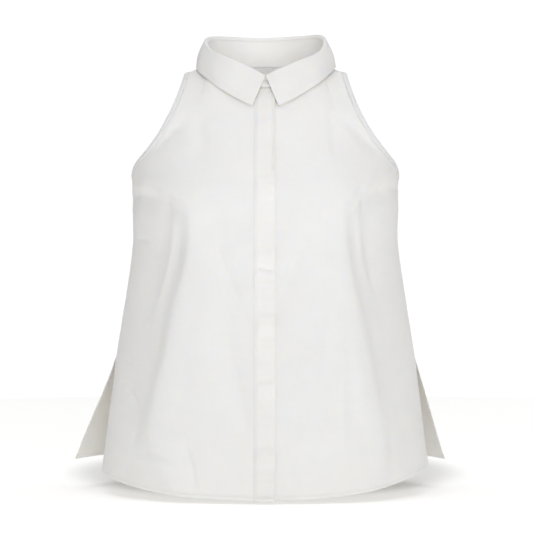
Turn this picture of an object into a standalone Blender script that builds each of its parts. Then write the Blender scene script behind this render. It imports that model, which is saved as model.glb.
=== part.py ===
"""Sleeveless button-up shirt with a halter cut, a small turned-down collar and a fly front.

It keeps the filled-out form that it has on a general figure: +Z is up, the front faces -Y and the
origin is the middle of the shoulder line. Sizes are in metres.
"""

import math
from collections import namedtuple

import bmesh
import bpy
import numpy as np
from mathutils import Matrix, Vector

# ---------------------------------------------------------------- cloth and seams
CLOTH = 0.001
SEAM_GAP = 0.0003
HALF_SEAM = 0.0002
LAYER = CLOTH + SEAM_GAP

# ---------------------------------------------------------------- the body of the shirt
FRONT_HEM_CENTRE = -0.5005
FRONT_HEM_RIGHT_SIDE = -0.4810
FRONT_HEM_LEFT_SIDE = -0.4725
HEM_CURVE = 1.5
BACK_HEM = -0.470
SLIT_TOP = -0.355
UNDERARM = -0.130
CHEST = -0.063
FLY_EDGE_COLUMN = 0.0137
# Below the slits the back's sides flare out and back, and the fronts' sides come forward.
BACK_FLARE = 0.0285
BACK_FLARE_DEPTH = 0.0080
BACK_FLARE_CURVE = 1.1
BACK_FLARE_SPREAD = 4
BACK_SWING = -0.0065
FRONT_SLIT_OPENING = 0.006
FRONT_SLIT_SPREAD = 6

# Level sections of the shirt. Depths are measured forwards and backwards from the shoulder line.
Section = namedtuple("Section", "height half_width front_depth back_depth squareness")
SECTIONS = (
    Section(-0.502, 0.1965, 0.1430, 0.1360, 2.35),
    Section(-0.430, 0.1900, 0.1415, 0.1320, 2.40),
    Section(-0.355, 0.1800, 0.1395, 0.1270, 2.45),
    Section(-0.270, 0.1670, 0.1365, 0.1200, 2.45),
    Section(-0.205, 0.1580, 0.1335, 0.1150, 2.45),
    Section(-0.158, 0.1590, 0.1310, 0.1130, 2.45),
    Section(-0.130, 0.1590, 0.1240, 0.1125, 2.35),
    Section(-0.100, 0.1600, 0.1110, 0.1090, 2.20),
    Section(-0.066, 0.1590, 0.0920, 0.0990, 2.10),
    Section(-0.040, 0.1580, 0.0760, 0.0900, 2.00),
)

# The armhole edge seen from the front: how far out it is at each height.
ArmholePoint = namedtuple("ArmholePoint", "height half_width")
ARMHOLE = (
    ArmholePoint(-0.130, 0.1590),
    ArmholePoint(-0.118, 0.1530),
    ArmholePoint(-0.105, 0.1412),
    ArmholePoint(-0.091, 0.1295),
    ArmholePoint(-0.077, 0.1202),
    ArmholePoint(-0.063, 0.1124),
)
SHOULDER_CORNER = Vector((0.0955, 0.0, -0.0065))
SHOULDER_ARCH = 0.055
# Round the neck a front leaves its neckline straight, and from this share of the way it arches over.
SHOULDER_ARCH_START = 0.35

# ---------------------------------------------------------------- neckline and collar
NECK_HALF_WIDTH = 0.0665
NECK_FRONT_DEPTH = 0.0660
NECK_BACK_DEPTH = 0.0620
NECK_FRONT_HEIGHT = -0.0310
NECK_SIDE_HEIGHT = 0.0050
NECK_BACK_HEIGHT = 0.0080
NECK_CURVE = 1.7
NECK_SHARE_OF_TOP = 0.72

FOLD_HALF_WIDTH = 0.0700
FOLD_FRONT_DEPTH = 0.0640
FOLD_BACK_DEPTH = 0.0600
FOLD_FRONT_HEIGHT = -0.0085
FOLD_SIDE_HEIGHT = 0.0345
FOLD_BACK_HEIGHT = 0.0435
FOLD_CURVE = 1.6
FOLD_ROLL = 0.0036
# The stand's rounded ends: how low they drop, over how much of a turn, in radians, and how fast.
STAND_END_DROP = 0.0085
STAND_END_ROUND = 0.42
STAND_END_CURVE = 1.5
# Its upper end lifts clear of the lower one, from this far before the front, in radians.
STAND_LAYER = CLOTH + 2 * SEAM_GAP
STAND_LIFT_START = 0.75
STAND_LIFT_BLEND = 0.40

# The leaf's outer edge, from its point at the front to the middle of the back.
LeafEdge = namedtuple("LeafEdge", "turn x y height")
LEAF_EDGE = (
    LeafEdge(0, 0.0155, -0.0850, -0.0475),
    LeafEdge(8, 0.0240, -0.0835, -0.0435),
    LeafEdge(28, 0.0440, -0.0745, -0.0315),
    LeafEdge(50, 0.0635, -0.0570, -0.0175),
    LeafEdge(72, 0.0785, -0.0310, -0.0020),
    LeafEdge(92, 0.0838, 0.0020, 0.0065),
    LeafEdge(132, 0.0650, 0.0510, 0.0050),
    LeafEdge(180, 0.0000, 0.0750, 0.0010),
    LeafEdge(228, -0.0650, 0.0510, 0.0050),
)
LEAF_FRONT_GAP = 0.0010
LEAF_BOW = 0.0030
# The leaf's section where it turns over, from its root on the stand: how far out and how high.
LEAF_ROLL = ((-0.0010, 0.0005), (-0.0010, 0.0018), (0.0002, 0.0034), (0.0022, 0.0032), (0.0038, 0.0012))

# ---------------------------------------------------------------- fly front
FLY_LEFT = -0.0132
FLY_RIGHT = 0.0114
FLY_BELOW_HEM = 0.0015
FLY_SEWN_EDGE = 0.0035
FLY_SEWN_RISE = 0.0004
FLY_FREE_DROP = 0.0006
BUTTON_ROOM = 0.0012
BUTTON_COUNT = 6
BUTTON_RADIUS = 0.0050
BUTTON_THICKNESS = 0.0020
BUTTON_FIRST = -0.078
BUTTON_PITCH = 0.075
FLY_LIFT = SEAM_GAP + BUTTON_THICKNESS + SEAM_GAP + CLOTH
BAND_BLEND = 0.022

# ---------------------------------------------------------------- armhole binding
BINDING_LEG = 0.0050
BINDING_EASE = 0.0006
BINDING_SLACK = 0.0006

# ---------------------------------------------------------------- folds
# A fold runs through three places on the cloth, given as they look from the front or the back.
# Height above 0 is a ridge and below 0 a trough.
Fold = namedtuple("Fold", "x0 z0 x1 z1 x2 z2 width rise")
FOLD_SHARE_AT_ENDS = 0.35
FRONT_FOLDS_RIGHT = (
    Fold(-0.087, -0.172, -0.094, -0.222, -0.112, -0.302, 0.013, -0.0075),
    Fold(-0.112, -0.302, -0.127, -0.352, -0.143, -0.410, 0.014, -0.0075),
    Fold(-0.100, -0.176, -0.113, -0.225, -0.130, -0.282, 0.013, 0.0060),
    Fold(-0.055, -0.202, -0.037, -0.256, -0.028, -0.305, 0.010, -0.0051),
    Fold(-0.049, -0.323, -0.039, -0.384, -0.022, -0.440, 0.012, -0.0042),
    Fold(-0.082, -0.425, -0.080, -0.460, -0.077, -0.500, 0.010, -0.0042),
    Fold(-0.083, -0.060, -0.104, -0.086, -0.128, -0.112, 0.008, -0.0030),
    Fold(-0.156, -0.148, -0.132, -0.152, -0.104, -0.159, 0.007, -0.0045),
)
FRONT_FOLDS_LEFT = (
    Fold(0.089, -0.170, 0.102, -0.235, 0.123, -0.323, 0.013, -0.0075),
    Fold(0.123, -0.323, 0.132, -0.356, 0.143, -0.400, 0.013, -0.0067),
    Fold(0.103, -0.176, 0.119, -0.235, 0.138, -0.300, 0.013, 0.0053),
    Fold(0.048, -0.198, 0.034, -0.244, 0.025, -0.284, 0.010, -0.0045),
    Fold(0.078, -0.242, 0.083, -0.323, 0.086, -0.445, 0.012, -0.0045),
    Fold(0.083, -0.060, 0.104, -0.086, 0.128, -0.112, 0.008, -0.0030),
    Fold(0.156, -0.146, 0.132, -0.150, 0.104, -0.157, 0.007, -0.0045),
)
BACK_FOLDS = (
    Fold(-0.060, -0.150, -0.075, -0.280, -0.095, -0.455, 0.016, -0.0083),
    Fold(0.052, -0.165, 0.066, -0.300, 0.080, -0.460, 0.015, -0.0075),
    Fold(-0.012, -0.210, -0.020, -0.330, -0.026, -0.465, 0.015, -0.0060),
    Fold(-0.120, -0.230, -0.138, -0.330, -0.158, -0.450, 0.014, 0.0060),
    Fold(0.112, -0.220, 0.130, -0.330, 0.150, -0.450, 0.014, 0.0060),
    Fold(-0.088, -0.070, -0.100, -0.098, -0.118, -0.128, 0.009, -0.0033),
    Fold(0.088, -0.070, 0.100, -0.098, 0.118, -0.128, 0.009, -0.0033),
)
BUST = Fold(0.086, -0.160, 0.092, -0.164, 0.098, -0.168, 0.040, 0.0050)

# ---------------------------------------------------------------- mesh density
FRONT_COLUMNS = 18
BACK_COLUMNS = 17
LOWER_ROWS = 20
ROWS_CLOSE_UP = 1.25
CHEST_ROWS = 7
SHOULDER_ROWS = (0.22, 0.44, 0.64, 0.81, 0.94, 1.0)
COLLAR_COLUMNS = 44
STAND_ROWS = 3
LEAF_FALL_ROWS = 5
BUTTON_SIDES = 14
FINE = 300
NUDGE = 0.0001
TINY = 1e-12

# ---------------------------------------------------------------- colours
COTTON_WHITE = (0.86, 0.85, 0.83, 1.0)
COTTON_ROUGHNESS = 0.9
BUTTON_WHITE = (0.88, 0.87, 0.84, 1.0)
BUTTON_ROUGHNESS = 0.35


def smooth(value):
    """Eases from 0 to 1 as the value does, and stays level outside."""
    value = np.clip(value, 0.0, 1.0)
    return value * value * (3.0 - 2.0 * value)


def read_table(table, column, at, key="height"):
    """A column of a table, read at any value of its key column along a smooth curve."""
    rows = sorted(table, key=lambda row: getattr(row, key))
    keys = np.array([getattr(row, key) for row in rows], float)
    values = np.array([getattr(row, column) for row in rows])
    slopes = np.gradient(values, keys)
    at = np.clip(at, keys[0], keys[-1])
    place = np.clip(np.searchsorted(keys, at) - 1, 0, len(rows) - 2)
    span = keys[place + 1] - keys[place]
    t = (at - keys[place]) / span
    low, high = values[place], values[place + 1]
    return (
        (2 * t**3 - 3 * t**2 + 1) * low
        + (t**3 - 2 * t**2 + t) * span * slopes[place]
        + (3 * t**2 - 2 * t**3) * high
        + (t**3 - t**2) * span * slopes[place + 1]
    )


def level_point(angle, height, side):
    """A point of the level section at a height. Angle 0 is the centre line, and side is -1 for the front."""
    power = 2.0 / read_table(SECTIONS, "squareness", height)
    depth = "front_depth" if side < 0 else "back_depth"
    x = read_table(SECTIONS, "half_width", height) * np.sin(angle) ** power
    y = side * read_table(SECTIONS, depth, height) * np.cos(angle) ** power
    return np.stack([x, y, height + 0 * angle], axis=-1)


def edge_angle(height):
    """Where the armhole edge cuts the level section."""
    width = read_table(SECTIONS, "half_width", height)
    reach = np.clip(read_table(ARMHOLE, "half_width", height) / width, 0.0, 1.0)
    power = 2.0 / read_table(SECTIONS, "squareness", height)
    return np.where(height <= UNDERARM, math.pi / 2, np.arcsin(reach ** (1.0 / power)))


def neckline(turn, side):
    """The neckline from its centre to the shoulder, as turn goes from 0 to a quarter circle."""
    depth, height = (
        (NECK_FRONT_DEPTH, NECK_FRONT_HEIGHT)
        if side < 0
        else (NECK_BACK_DEPTH, NECK_BACK_HEIGHT)
    )
    x = NECK_HALF_WIDTH * np.sin(turn)
    y = side * depth * np.cos(turn)
    z = NECK_SIDE_HEIGHT + (height - NECK_SIDE_HEIGHT) * np.cos(turn) ** NECK_CURVE
    return np.stack([x, y, z], axis=-1)


def top_edge(side):
    """Half the top of a front or back, neckline then shoulder, and each point's share of the way round."""
    columns = FRONT_COLUMNS if side < 0 else BACK_COLUMNS
    neck_columns = round(columns * NECK_SHARE_OF_TOP)
    if side < 0:
        start = math.asin(FLY_EDGE_COLUMN / NECK_HALF_WIDTH)
        turn = np.append(0.0, np.linspace(start, math.pi / 2, neck_columns))
    else:
        turn = np.linspace(0.0, math.pi / 2, neck_columns + 1)
    start = np.array([NECK_HALF_WIDTH, 0.0, NECK_SIDE_HEIGHT])
    along = np.linspace(0.0, 1.0, columns - neck_columns + 1)[1:, None]
    shoulder = start + along * (np.array(SHOULDER_CORNER) - start)
    round_neck = np.append(turn / (math.pi / 2), np.ones(len(along)))
    return np.concatenate([neckline(turn, side), shoulder]), round_neck


def spaced(row, side):
    """A row's columns: on a front the first lies at the fly's edge, and the rest are evenly spaced."""
    steps = np.linalg.norm(np.diff(row, axis=0), axis=-1)
    length = np.append(0.0, np.cumsum(steps))
    if side < 0:
        fly = np.interp(FLY_EDGE_COLUMN, row[:, 0], length)
        places = np.append(0.0, np.linspace(fly, length[-1], FRONT_COLUMNS))
    else:
        places = np.linspace(0.0, length[-1], BACK_COLUMNS + 1)
    return np.stack([np.interp(places, length, row[:, axis]) for axis in range(3)], axis=-1)


def lower_row(up, side, hem_centre, hem_side):
    """A row of the front or back below the underarm. Up is 0 at the hem and 1 at the underarm."""
    across = np.linspace(0.0, 1.0, FINE)
    hem = hem_side + (hem_centre - hem_side) * np.cos(across * math.pi / 2) ** HEM_CURVE
    height = hem + (UNDERARM - hem) * up
    points = level_point(across * math.pi / 2, height, side)
    below_slit = np.clip((SLIT_TOP - height) / (SLIT_TOP - BACK_HEM), 0.0, 1.0)
    if side > 0:
        points[:, 0] += BACK_FLARE * below_slit**BACK_FLARE_CURVE * across**BACK_FLARE_SPREAD
        points[:, 1] += BACK_FLARE_DEPTH * below_slit * across**BACK_FLARE_SPREAD
    else:
        points[:, 1] -= FRONT_SLIT_OPENING * below_slit * across**FRONT_SLIT_SPREAD
    return spaced(points, side)


def chest_row(up, side):
    """A row beside the armhole. Up is 0 at the underarm and 1 at the chest."""
    height = UNDERARM + (CHEST - UNDERARM) * up
    across = np.linspace(0.0, 1.0, FINE)
    return spaced(level_point(across * edge_angle(height), np.full(FINE, height), side), side)


def body_half(side, hem_centre, hem_side):
    """Half of the front or back as rows of points, from the hem up, each from the centre line outwards."""
    climb = 1.0 - np.linspace(1.0, 0.0, LOWER_ROWS + 1) ** ROWS_CLOSE_UP
    rows = [lower_row(up, side, hem_centre, hem_side) for up in climb]
    for turn in np.linspace(0.0, math.pi / 2, CHEST_ROWS + 1)[1:]:
        rows.append(chest_row(1.0 - math.cos(turn), side))
    chest = rows[-1]
    top, round_neck = top_edge(side)
    step = rows[-1][0, 2] - rows[-2][0, 2]
    leave = (rows[-1] - rows[-2]) / step * (top[:, 2:3] - chest[:, 2:3])
    on_shoulder = smooth((round_neck - SHOULDER_ARCH_START) / (1 - SHOULDER_ARCH_START))[:, None]
    arch = np.array([0.0, -side * SHOULDER_ARCH, 0.0])
    arrive = (top - chest) * (1 - on_shoulder) + arch * on_shoulder
    for up in SHOULDER_ROWS:
        rows.append(
            (2 * up**3 - 3 * up**2 + 1) * chest
            + (up**3 - 2 * up**2 + up) * leave
            + (3 * up**2 - 2 * up**3) * top
            + (up**3 - up**2) * arrive
        )
    points = np.array(rows)
    points[..., 1] += side * HALF_SEAM
    return points


def normals_of(points):
    """Unit normals of a grid of points, to the left of the columns' direction as the rows go up."""
    rows_way = np.gradient(points, axis=0)
    columns_way = np.gradient(points, axis=1)
    normal = np.cross(columns_way, rows_way)
    return normal / np.maximum(np.linalg.norm(normal, axis=-1, keepdims=True), TINY)


def fold_shape(points, fold):
    """How far each point moves for a fold: its rise across its width, easing out at both ends."""
    stops = np.array([[fold.x0, fold.z0], [fold.x1, fold.z1], [fold.x2, fold.z2]])
    place = points[..., [0, 2]]
    nearest = np.full(place.shape[:-1], np.inf)
    along = np.zeros(place.shape[:-1])
    for index in (0, 1):
        start, way = stops[index], stops[index + 1] - stops[index]
        share = np.clip(((place - start) @ way) / (way @ way), 0.0, 1.0)
        distance = np.linalg.norm(place - start - share[..., None] * way, axis=-1)
        along = np.where(distance < nearest, (index + share) / 2, along)
        nearest = np.minimum(nearest, distance)
    middle = np.sin(np.clip(along, 0.0, 1.0) * math.pi)
    ease = FOLD_SHARE_AT_ENDS + (1 - FOLD_SHARE_AT_ENDS) * middle
    return fold.rise * ease * np.exp(-((nearest / fold.width) ** 2))


def folded(points, normals, folds):
    """The points moved along their normals by all the folds together."""
    total = sum(fold_shape(points, fold) for fold in folds)
    return points + normals * total[..., None]


def mirrored(points):
    """The same points on the other side of the centre, with the columns still going to the viewer's right."""
    flipped = points[:, ::-1].copy()
    flipped[..., 0] *= -1
    return flipped


def bust_folds():
    return (BUST, BUST._replace(x0=-BUST.x0, x1=-BUST.x1, x2=-BUST.x2))


def front_points(sign):
    """A whole front with its band past the centre. Sign is +1 for the wearer's left front."""
    hem_side, reach = (FRONT_HEM_RIGHT_SIDE, FLY_RIGHT) if sign < 0 else (FRONT_HEM_LEFT_SIDE, -FLY_LEFT)
    half = body_half(-1, FRONT_HEM_CENTRE, hem_side)
    half[:, 0, 0] = 0.0
    band = half[:, :1] + (half[:, 1:2] - half[:, :1]) * (reach - SEAM_GAP) / FLY_EDGE_COLUMN
    band[..., 0] *= -1
    points = np.concatenate([band, half], axis=1)
    if sign < 0:
        points = mirrored(points)
    points = folded(points, normals_of(points), FRONT_FOLDS_RIGHT + FRONT_FOLDS_LEFT + bust_folds())
    if sign < 0:
        over = smooth(1.0 + (points[..., 0] - FLY_LEFT) / BAND_BLEND)
        points = points + normals_of(points) * (LAYER * over)[..., None]
    return points


def back_points():
    """The whole back, from the wearer's left side to the right."""
    half = body_half(1, BACK_HEM, BACK_HEM)
    points = np.concatenate([mirrored(half)[:, :-1], half], axis=1)[:, ::-1]
    points[..., 0] += BACK_SWING * smooth((SLIT_TOP - points[..., 2]) / (SLIT_TOP - BACK_HEM))
    return folded(points, normals_of(points), BACK_FOLDS)


def material(name, colour, roughness):
    made = bpy.data.materials.new(name)
    made.use_nodes = True
    made.diffuse_color = colour
    shader = made.node_tree.nodes["Principled BSDF"]
    shader.inputs["Base Color"].default_value = colour
    shader.inputs["Roughness"].default_value = roughness
    shader.inputs["Metallic"].default_value = 0.0
    return made


def keep(name, mesh, collection, made):
    """An object of the shirt from a finished bmesh."""
    data = bpy.data.meshes.new(name)
    mesh.to_mesh(data)
    mesh.free()
    data.materials.append(made)
    data.shade_smooth()
    part = bpy.data.objects.new(name, data)
    collection.objects.link(part)
    return part


def sheet(name, points, collection, made):
    """A cloth wall: a grid laid through the points, then thickened away from its outer face."""
    rows, columns = points.shape[:2]
    mesh = bmesh.new()
    bmesh.ops.create_grid(mesh, x_segments=columns - 1, y_segments=rows - 1, size=0.5)
    for vertex, place in zip(mesh.verts, points.reshape(-1, 3)):
        vertex.co = place
    mesh.normal_update()
    part = keep(name, mesh, collection, made)
    wall = part.modifiers.new("wall", "SOLIDIFY")
    wall.thickness = CLOTH
    wall.offset = -1.0
    wall.use_even_offset = True
    return part


def armhole_normals(points, edge, side, sign):
    """The way out of the cloth along an armhole edge, from the underarm up to the shoulder."""
    out = normals_of(points)[LOWER_ROWS:, edge]
    for row in range(CHEST_ROWS + 1):
        height = points[LOWER_ROWS + row, edge, 2]
        turn = edge_angle(height) - NUDGE
        here = level_point(turn, height, side)
        around = level_point(turn + NUDGE, height, side) - here
        upwards = level_point(turn, height + NUDGE, side) - here
        normal = np.cross(around, upwards) * -side * np.array([sign, 1.0, 1.0])
        out[row] = normal / np.linalg.norm(normal)
    return out


def binding(name, sign, front, back, collection, made):
    """A strip folded over an armhole edge, with a slot that the edge lies in."""
    front_at, back_at = (-1, 0) if sign > 0 else (0, -1)
    up, down = front[LOWER_ROWS:, front_at], back[LOWER_ROWS:, back_at][::-1]
    up_out = armhole_normals(front, front_at, -1, sign)
    down_out = armhole_normals(back, back_at, 1, sign)[::-1]
    shoulder, underarm = (up[-1:] + down[:1]) / 2, (up[:1] + down[-1:]) / 2
    places = np.concatenate([underarm, up[1:-1], shoulder, down[1:-1]])
    shoulder_out, underarm_out = up_out[-1:] + down_out[:1], up_out[:1] + down_out[-1:]
    out = np.concatenate([underarm_out, up_out[1:-1], shoulder_out, down_out[1:-1]])
    out /= np.linalg.norm(out, axis=-1, keepdims=True)
    along = np.roll(places, -1, axis=0) - np.roll(places, 1, axis=0)
    along /= np.linalg.norm(along, axis=-1, keepdims=True)
    into = np.cross(out, along) * sign
    into /= np.linalg.norm(into, axis=-1, keepdims=True)
    edge, rim = -SEAM_GAP, -SEAM_GAP - CLOTH
    upper, top = BINDING_SLACK, BINDING_SLACK + CLOTH
    lower, bottom = -CLOTH - BINDING_SLACK, -CLOTH - BINDING_SLACK - CLOTH
    profile = (
        (BINDING_LEG, top + BINDING_EASE),
        (rim, top),
        (rim, bottom),
        (BINDING_LEG, bottom - BINDING_EASE),
        (BINDING_LEG, lower - BINDING_EASE),
        (edge, lower),
        (edge, upper),
        (BINDING_LEG, upper + BINDING_EASE),
    )
    bpy.ops.mesh.primitive_torus_add(major_segments=len(places), minor_segments=len(profile))
    ring = bpy.context.object
    mesh = bmesh.new()
    mesh.from_mesh(ring.data)
    bpy.data.objects.remove(ring)
    mesh.verts.ensure_lookup_table()
    for station in range(len(places)):
        for corner, (inner, height) in enumerate(profile):
            place = places[station] + into[station] * inner + out[station] * height
            mesh.verts[station * len(profile) + corner].co = place
    if mesh.calc_volume(signed=True) < 0:
        bmesh.ops.reverse_faces(mesh, faces=mesh.faces)
    return keep(name, mesh, collection, made)


def fold_ring(turn):
    """The line where the collar turns over, and the way out from the neck. Turn 0 is the front."""
    front = np.clip(np.cos(turn), 0.0, 1.0)
    rear = np.clip(-np.cos(turn), 0.0, 1.0)
    depth = np.where(np.cos(turn) > 0, FOLD_FRONT_DEPTH, FOLD_BACK_DEPTH)
    x = FOLD_HALF_WIDTH * np.sin(turn)
    y = -depth * np.cos(turn)
    z = (
        FOLD_SIDE_HEIGHT
        + (FOLD_FRONT_HEIGHT - FOLD_SIDE_HEIGHT) * front**FOLD_CURVE
        + (FOLD_BACK_HEIGHT - FOLD_SIDE_HEIGHT) * rear**FOLD_CURVE
    )
    out = np.stack([np.sin(turn) / FOLD_HALF_WIDTH, -np.cos(turn) / depth, 0 * turn], axis=-1)
    out /= np.linalg.norm(out, axis=-1, keepdims=True)
    return np.stack([x, y, z], axis=-1), out


def neck_ring(turn):
    """The neckline all round, which the stand is sewn to."""
    side = np.where(np.cos(turn) > 0, -1, 1)
    quarter = np.arccos(np.abs(np.cos(turn)))
    front, back = neckline(quarter, -1), neckline(quarter, 1)
    ring = np.where(side[..., None] < 0, front, back)
    ring[..., 0] *= np.sign(np.sin(turn))
    return ring


def stand_points():
    """The stand, from the end that lies under at the front, round the neck to the end that lies over."""
    start = math.asin(FLY_LEFT / NECK_HALF_WIDTH)
    finish = 2 * math.pi + math.asin(FLY_RIGHT / NECK_HALF_WIDTH)
    turn = np.linspace(0.0, 2 * math.pi, COLLAR_COLUMNS + 1)
    turn = np.concatenate([[start, start / 2], turn, [(2 * math.pi + finish) / 2, finish]])
    base, (top, out) = neck_ring(turn), fold_ring(turn)
    top[:, 2] -= FOLD_ROLL
    end = np.minimum(turn - start, finish - turn)
    round_off = np.clip(1.0 - end / STAND_END_ROUND, 0.0, 1.0) ** STAND_END_CURVE
    base[:, 2] += LAYER
    top += (base - top) * (STAND_END_DROP * round_off / (top[:, 2] - base[:, 2]))[:, None]
    over = smooth((turn - (2 * math.pi - STAND_LIFT_START)) / STAND_LIFT_BLEND)
    lift = out * (STAND_LAYER * over)[:, None]
    rows = [base + (top - base) * up + lift for up in np.linspace(0.0, 1.0, STAND_ROWS + 1)]
    return np.array(rows)


def leaf_points():
    """The leaf, from its root on the stand, over the roll and down to its outer edge."""
    turn = np.linspace(0.0, 2 * math.pi, COLLAR_COLUMNS + 1)
    fold, out = fold_ring(turn)
    fold[:, 2] -= FOLD_ROLL
    fold[0, 0], fold[-1, 0] = LEAF_FRONT_GAP, -LEAF_FRONT_GAP
    half_turn = np.degrees(np.minimum(turn, 2 * math.pi - turn))
    columns = [read_table(LEAF_EDGE, name, half_turn, "turn") for name in ("x", "y", "height")]
    edge = np.stack(columns, axis=-1)
    edge[turn > math.pi, 0] *= -1
    up = np.array([0.0, 0.0, 1.0])
    rows = [fold + out * outwards + up * rise for outwards, rise in LEAF_ROLL]
    start = rows[-1]
    for share in np.linspace(0.0, 1.0, LEAF_FALL_ROWS + 1)[1:]:
        bow = LEAF_BOW * math.sin(share * math.pi)
        rows.append(start + (edge - start) * share + out * bow)
    return np.array(rows)


def fly_points(front):
    """The fly strip, made from the right front's centre points and moved out to clear the buttons."""
    front = front[:-1]
    centre = front[:, -2]
    profile = (
        (FLY_LEFT, SEAM_GAP + CLOTH),
        (FLY_LEFT + FLY_SEWN_EDGE, SEAM_GAP + CLOTH + FLY_SEWN_RISE),
        (-BUTTON_RADIUS - BUTTON_ROOM, FLY_LIFT),
        (BUTTON_RADIUS + BUTTON_ROOM, FLY_LIFT),
        (FLY_RIGHT, FLY_LIFT - FLY_FREE_DROP),
    )
    rows = np.zeros((len(centre), len(profile), 3))
    slope = np.gradient(centre, axis=0)
    out = np.cross(np.array([1.0, 0.0, 0.0]), slope)
    out /= np.linalg.norm(out, axis=-1, keepdims=True)
    for column, (x, lift) in enumerate(profile):
        near, far = (-1, -2) if x > 0 else (-2, -3)
        share = ((x - front[:, far, 0]) / (front[:, near, 0] - front[:, far, 0]))[:, None]
        rows[:, column] = front[:, far] + (front[:, near] - front[:, far]) * share + out * lift
    rows[0, :, 2] -= FLY_BELOW_HEM
    return rows


def button(index, front, collection, made):
    """A plain shirt button, lying on the buttonhole band under the fly."""
    centre = front[:, -2]
    height = BUTTON_FIRST - index * BUTTON_PITCH
    depth = np.interp(height, centre[:, 2], centre[:, 1])
    above = np.interp(height + BUTTON_RADIUS, centre[:, 2], centre[:, 1])
    tilt = math.atan2(above - depth, BUTTON_RADIUS)
    mesh = bmesh.new()
    bmesh.ops.create_cone(
        mesh,
        cap_ends=True,
        segments=BUTTON_SIDES,
        radius1=BUTTON_RADIUS,
        radius2=BUTTON_RADIUS,
        depth=BUTTON_THICKNESS,
    )
    turn = Matrix.Rotation(math.pi / 2 - tilt, 4, "X")
    lift = SEAM_GAP + BUTTON_THICKNESS / 2
    out = turn @ Vector((0.0, 0.0, 1.0))
    place = Matrix.Translation(Vector((0.0, depth, height)) + out * lift)
    part = keep("button_%d" % (index + 1), mesh, collection, made)
    part.matrix_world = place @ turn
    return part


def build():
    for old in list(bpy.data.objects):
        bpy.data.objects.remove(old)
    shirt = bpy.data.collections.new("sleeveless_shirt")
    bpy.context.scene.collection.children.link(shirt)
    front_right, front_left, back = front_points(-1), front_points(1), back_points()
    cotton = {}
    for name in (
        "front_right",
        "front_left",
        "back",
        "placket",
        "collar_stand",
        "collar_leaf",
        "armhole_binding_right",
        "armhole_binding_left",
    ):
        cotton[name] = material(name + "_cotton", COTTON_WHITE, COTTON_ROUGHNESS)
    sheet("front_right", front_right, shirt, cotton["front_right"])
    sheet("front_left", front_left, shirt, cotton["front_left"])
    sheet("back", back, shirt, cotton["back"])
    sheet("placket", fly_points(front_right), shirt, cotton["placket"])
    sheet("collar_stand", stand_points(), shirt, cotton["collar_stand"])
    sheet("collar_leaf", leaf_points(), shirt, cotton["collar_leaf"])
    for side, sign, front in (("right", -1, front_right), ("left", 1, front_left)):
        name = "armhole_binding_" + side
        binding(name, sign, front, back, shirt, cotton[name])
    shell = material("button_shell", BUTTON_WHITE, BUTTON_ROUGHNESS)
    for index in range(BUTTON_COUNT):
        button(index, front_right, shirt, shell)


build()
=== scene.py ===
"""Dresses a sleeveless button-up shirt in white cotton: creased shells, hems, stitching and a plain studio.

The shirt is in metres in the frame of its solids: +Z up, the front faces -Y, and the origin is the
middle of the shoulder line.
"""

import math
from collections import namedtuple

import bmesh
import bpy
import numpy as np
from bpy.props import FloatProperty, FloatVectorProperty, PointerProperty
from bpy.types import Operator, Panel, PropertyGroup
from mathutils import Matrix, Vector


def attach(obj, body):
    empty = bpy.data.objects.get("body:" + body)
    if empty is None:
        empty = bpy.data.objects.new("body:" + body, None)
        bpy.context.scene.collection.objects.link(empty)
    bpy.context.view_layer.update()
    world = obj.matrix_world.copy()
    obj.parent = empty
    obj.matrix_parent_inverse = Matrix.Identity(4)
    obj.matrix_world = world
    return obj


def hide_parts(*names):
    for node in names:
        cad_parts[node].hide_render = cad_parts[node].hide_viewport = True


bl_info = {
    "name": "Sleeveless Cotton Shirt",
    "version": (1, 0, 0),
    "blender": (4, 5, 0),
    "location": "View3D > Sidebar > Shirt",
    "description": "Lays fine cotton, creases and stitching over the solids of a sleeveless shirt",
    "category": "Object",
}

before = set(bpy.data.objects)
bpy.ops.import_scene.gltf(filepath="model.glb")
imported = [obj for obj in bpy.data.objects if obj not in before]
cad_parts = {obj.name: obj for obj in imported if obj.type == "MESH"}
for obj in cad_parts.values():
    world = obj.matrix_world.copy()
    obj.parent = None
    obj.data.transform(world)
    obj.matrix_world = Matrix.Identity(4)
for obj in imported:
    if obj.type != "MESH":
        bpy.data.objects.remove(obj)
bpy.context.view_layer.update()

MM = 0.001
TINY = 1e-12

# ---------------------------------------------------------------- the shirt's own sizes
# They are those of its solids, with the hems, the slits and the collar shaped more closely.
CLOTH = 0.001
SEAM_GAP = 0.0003
LAYER = CLOTH + SEAM_GAP
HALF_SEAM = 0.0001

FRONT_HEM_CENTRE = -0.5005
FRONT_HEM_RIGHT_SIDE = -0.4810
FRONT_HEM_LEFT_SIDE = -0.4725
HEM_CURVE = 1.7
BACK_HEM = -0.470
SLIT_TOP = -0.346
UNDERARM = -0.130
CHEST = -0.063
FLY_EDGE_COLUMN = 0.0137
BACK_FLARE = 0.0285
BACK_FLARE_DEPTH = 0.0080
BACK_FLARE_CURVE = 1.1
BACK_FLARE_SPREAD = 4
BACK_SWING = -0.0065
FRONT_SLIT_OPENING = 0.006
FRONT_SLIT_SPREAD = 6
FRONT_SLIT_IN = 0.0018
# The columns' edge of each panel that is a side edge: the wearer's right front, then the left one.
SIDE_EDGE = {-1: "left", 1: "right"}

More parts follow.
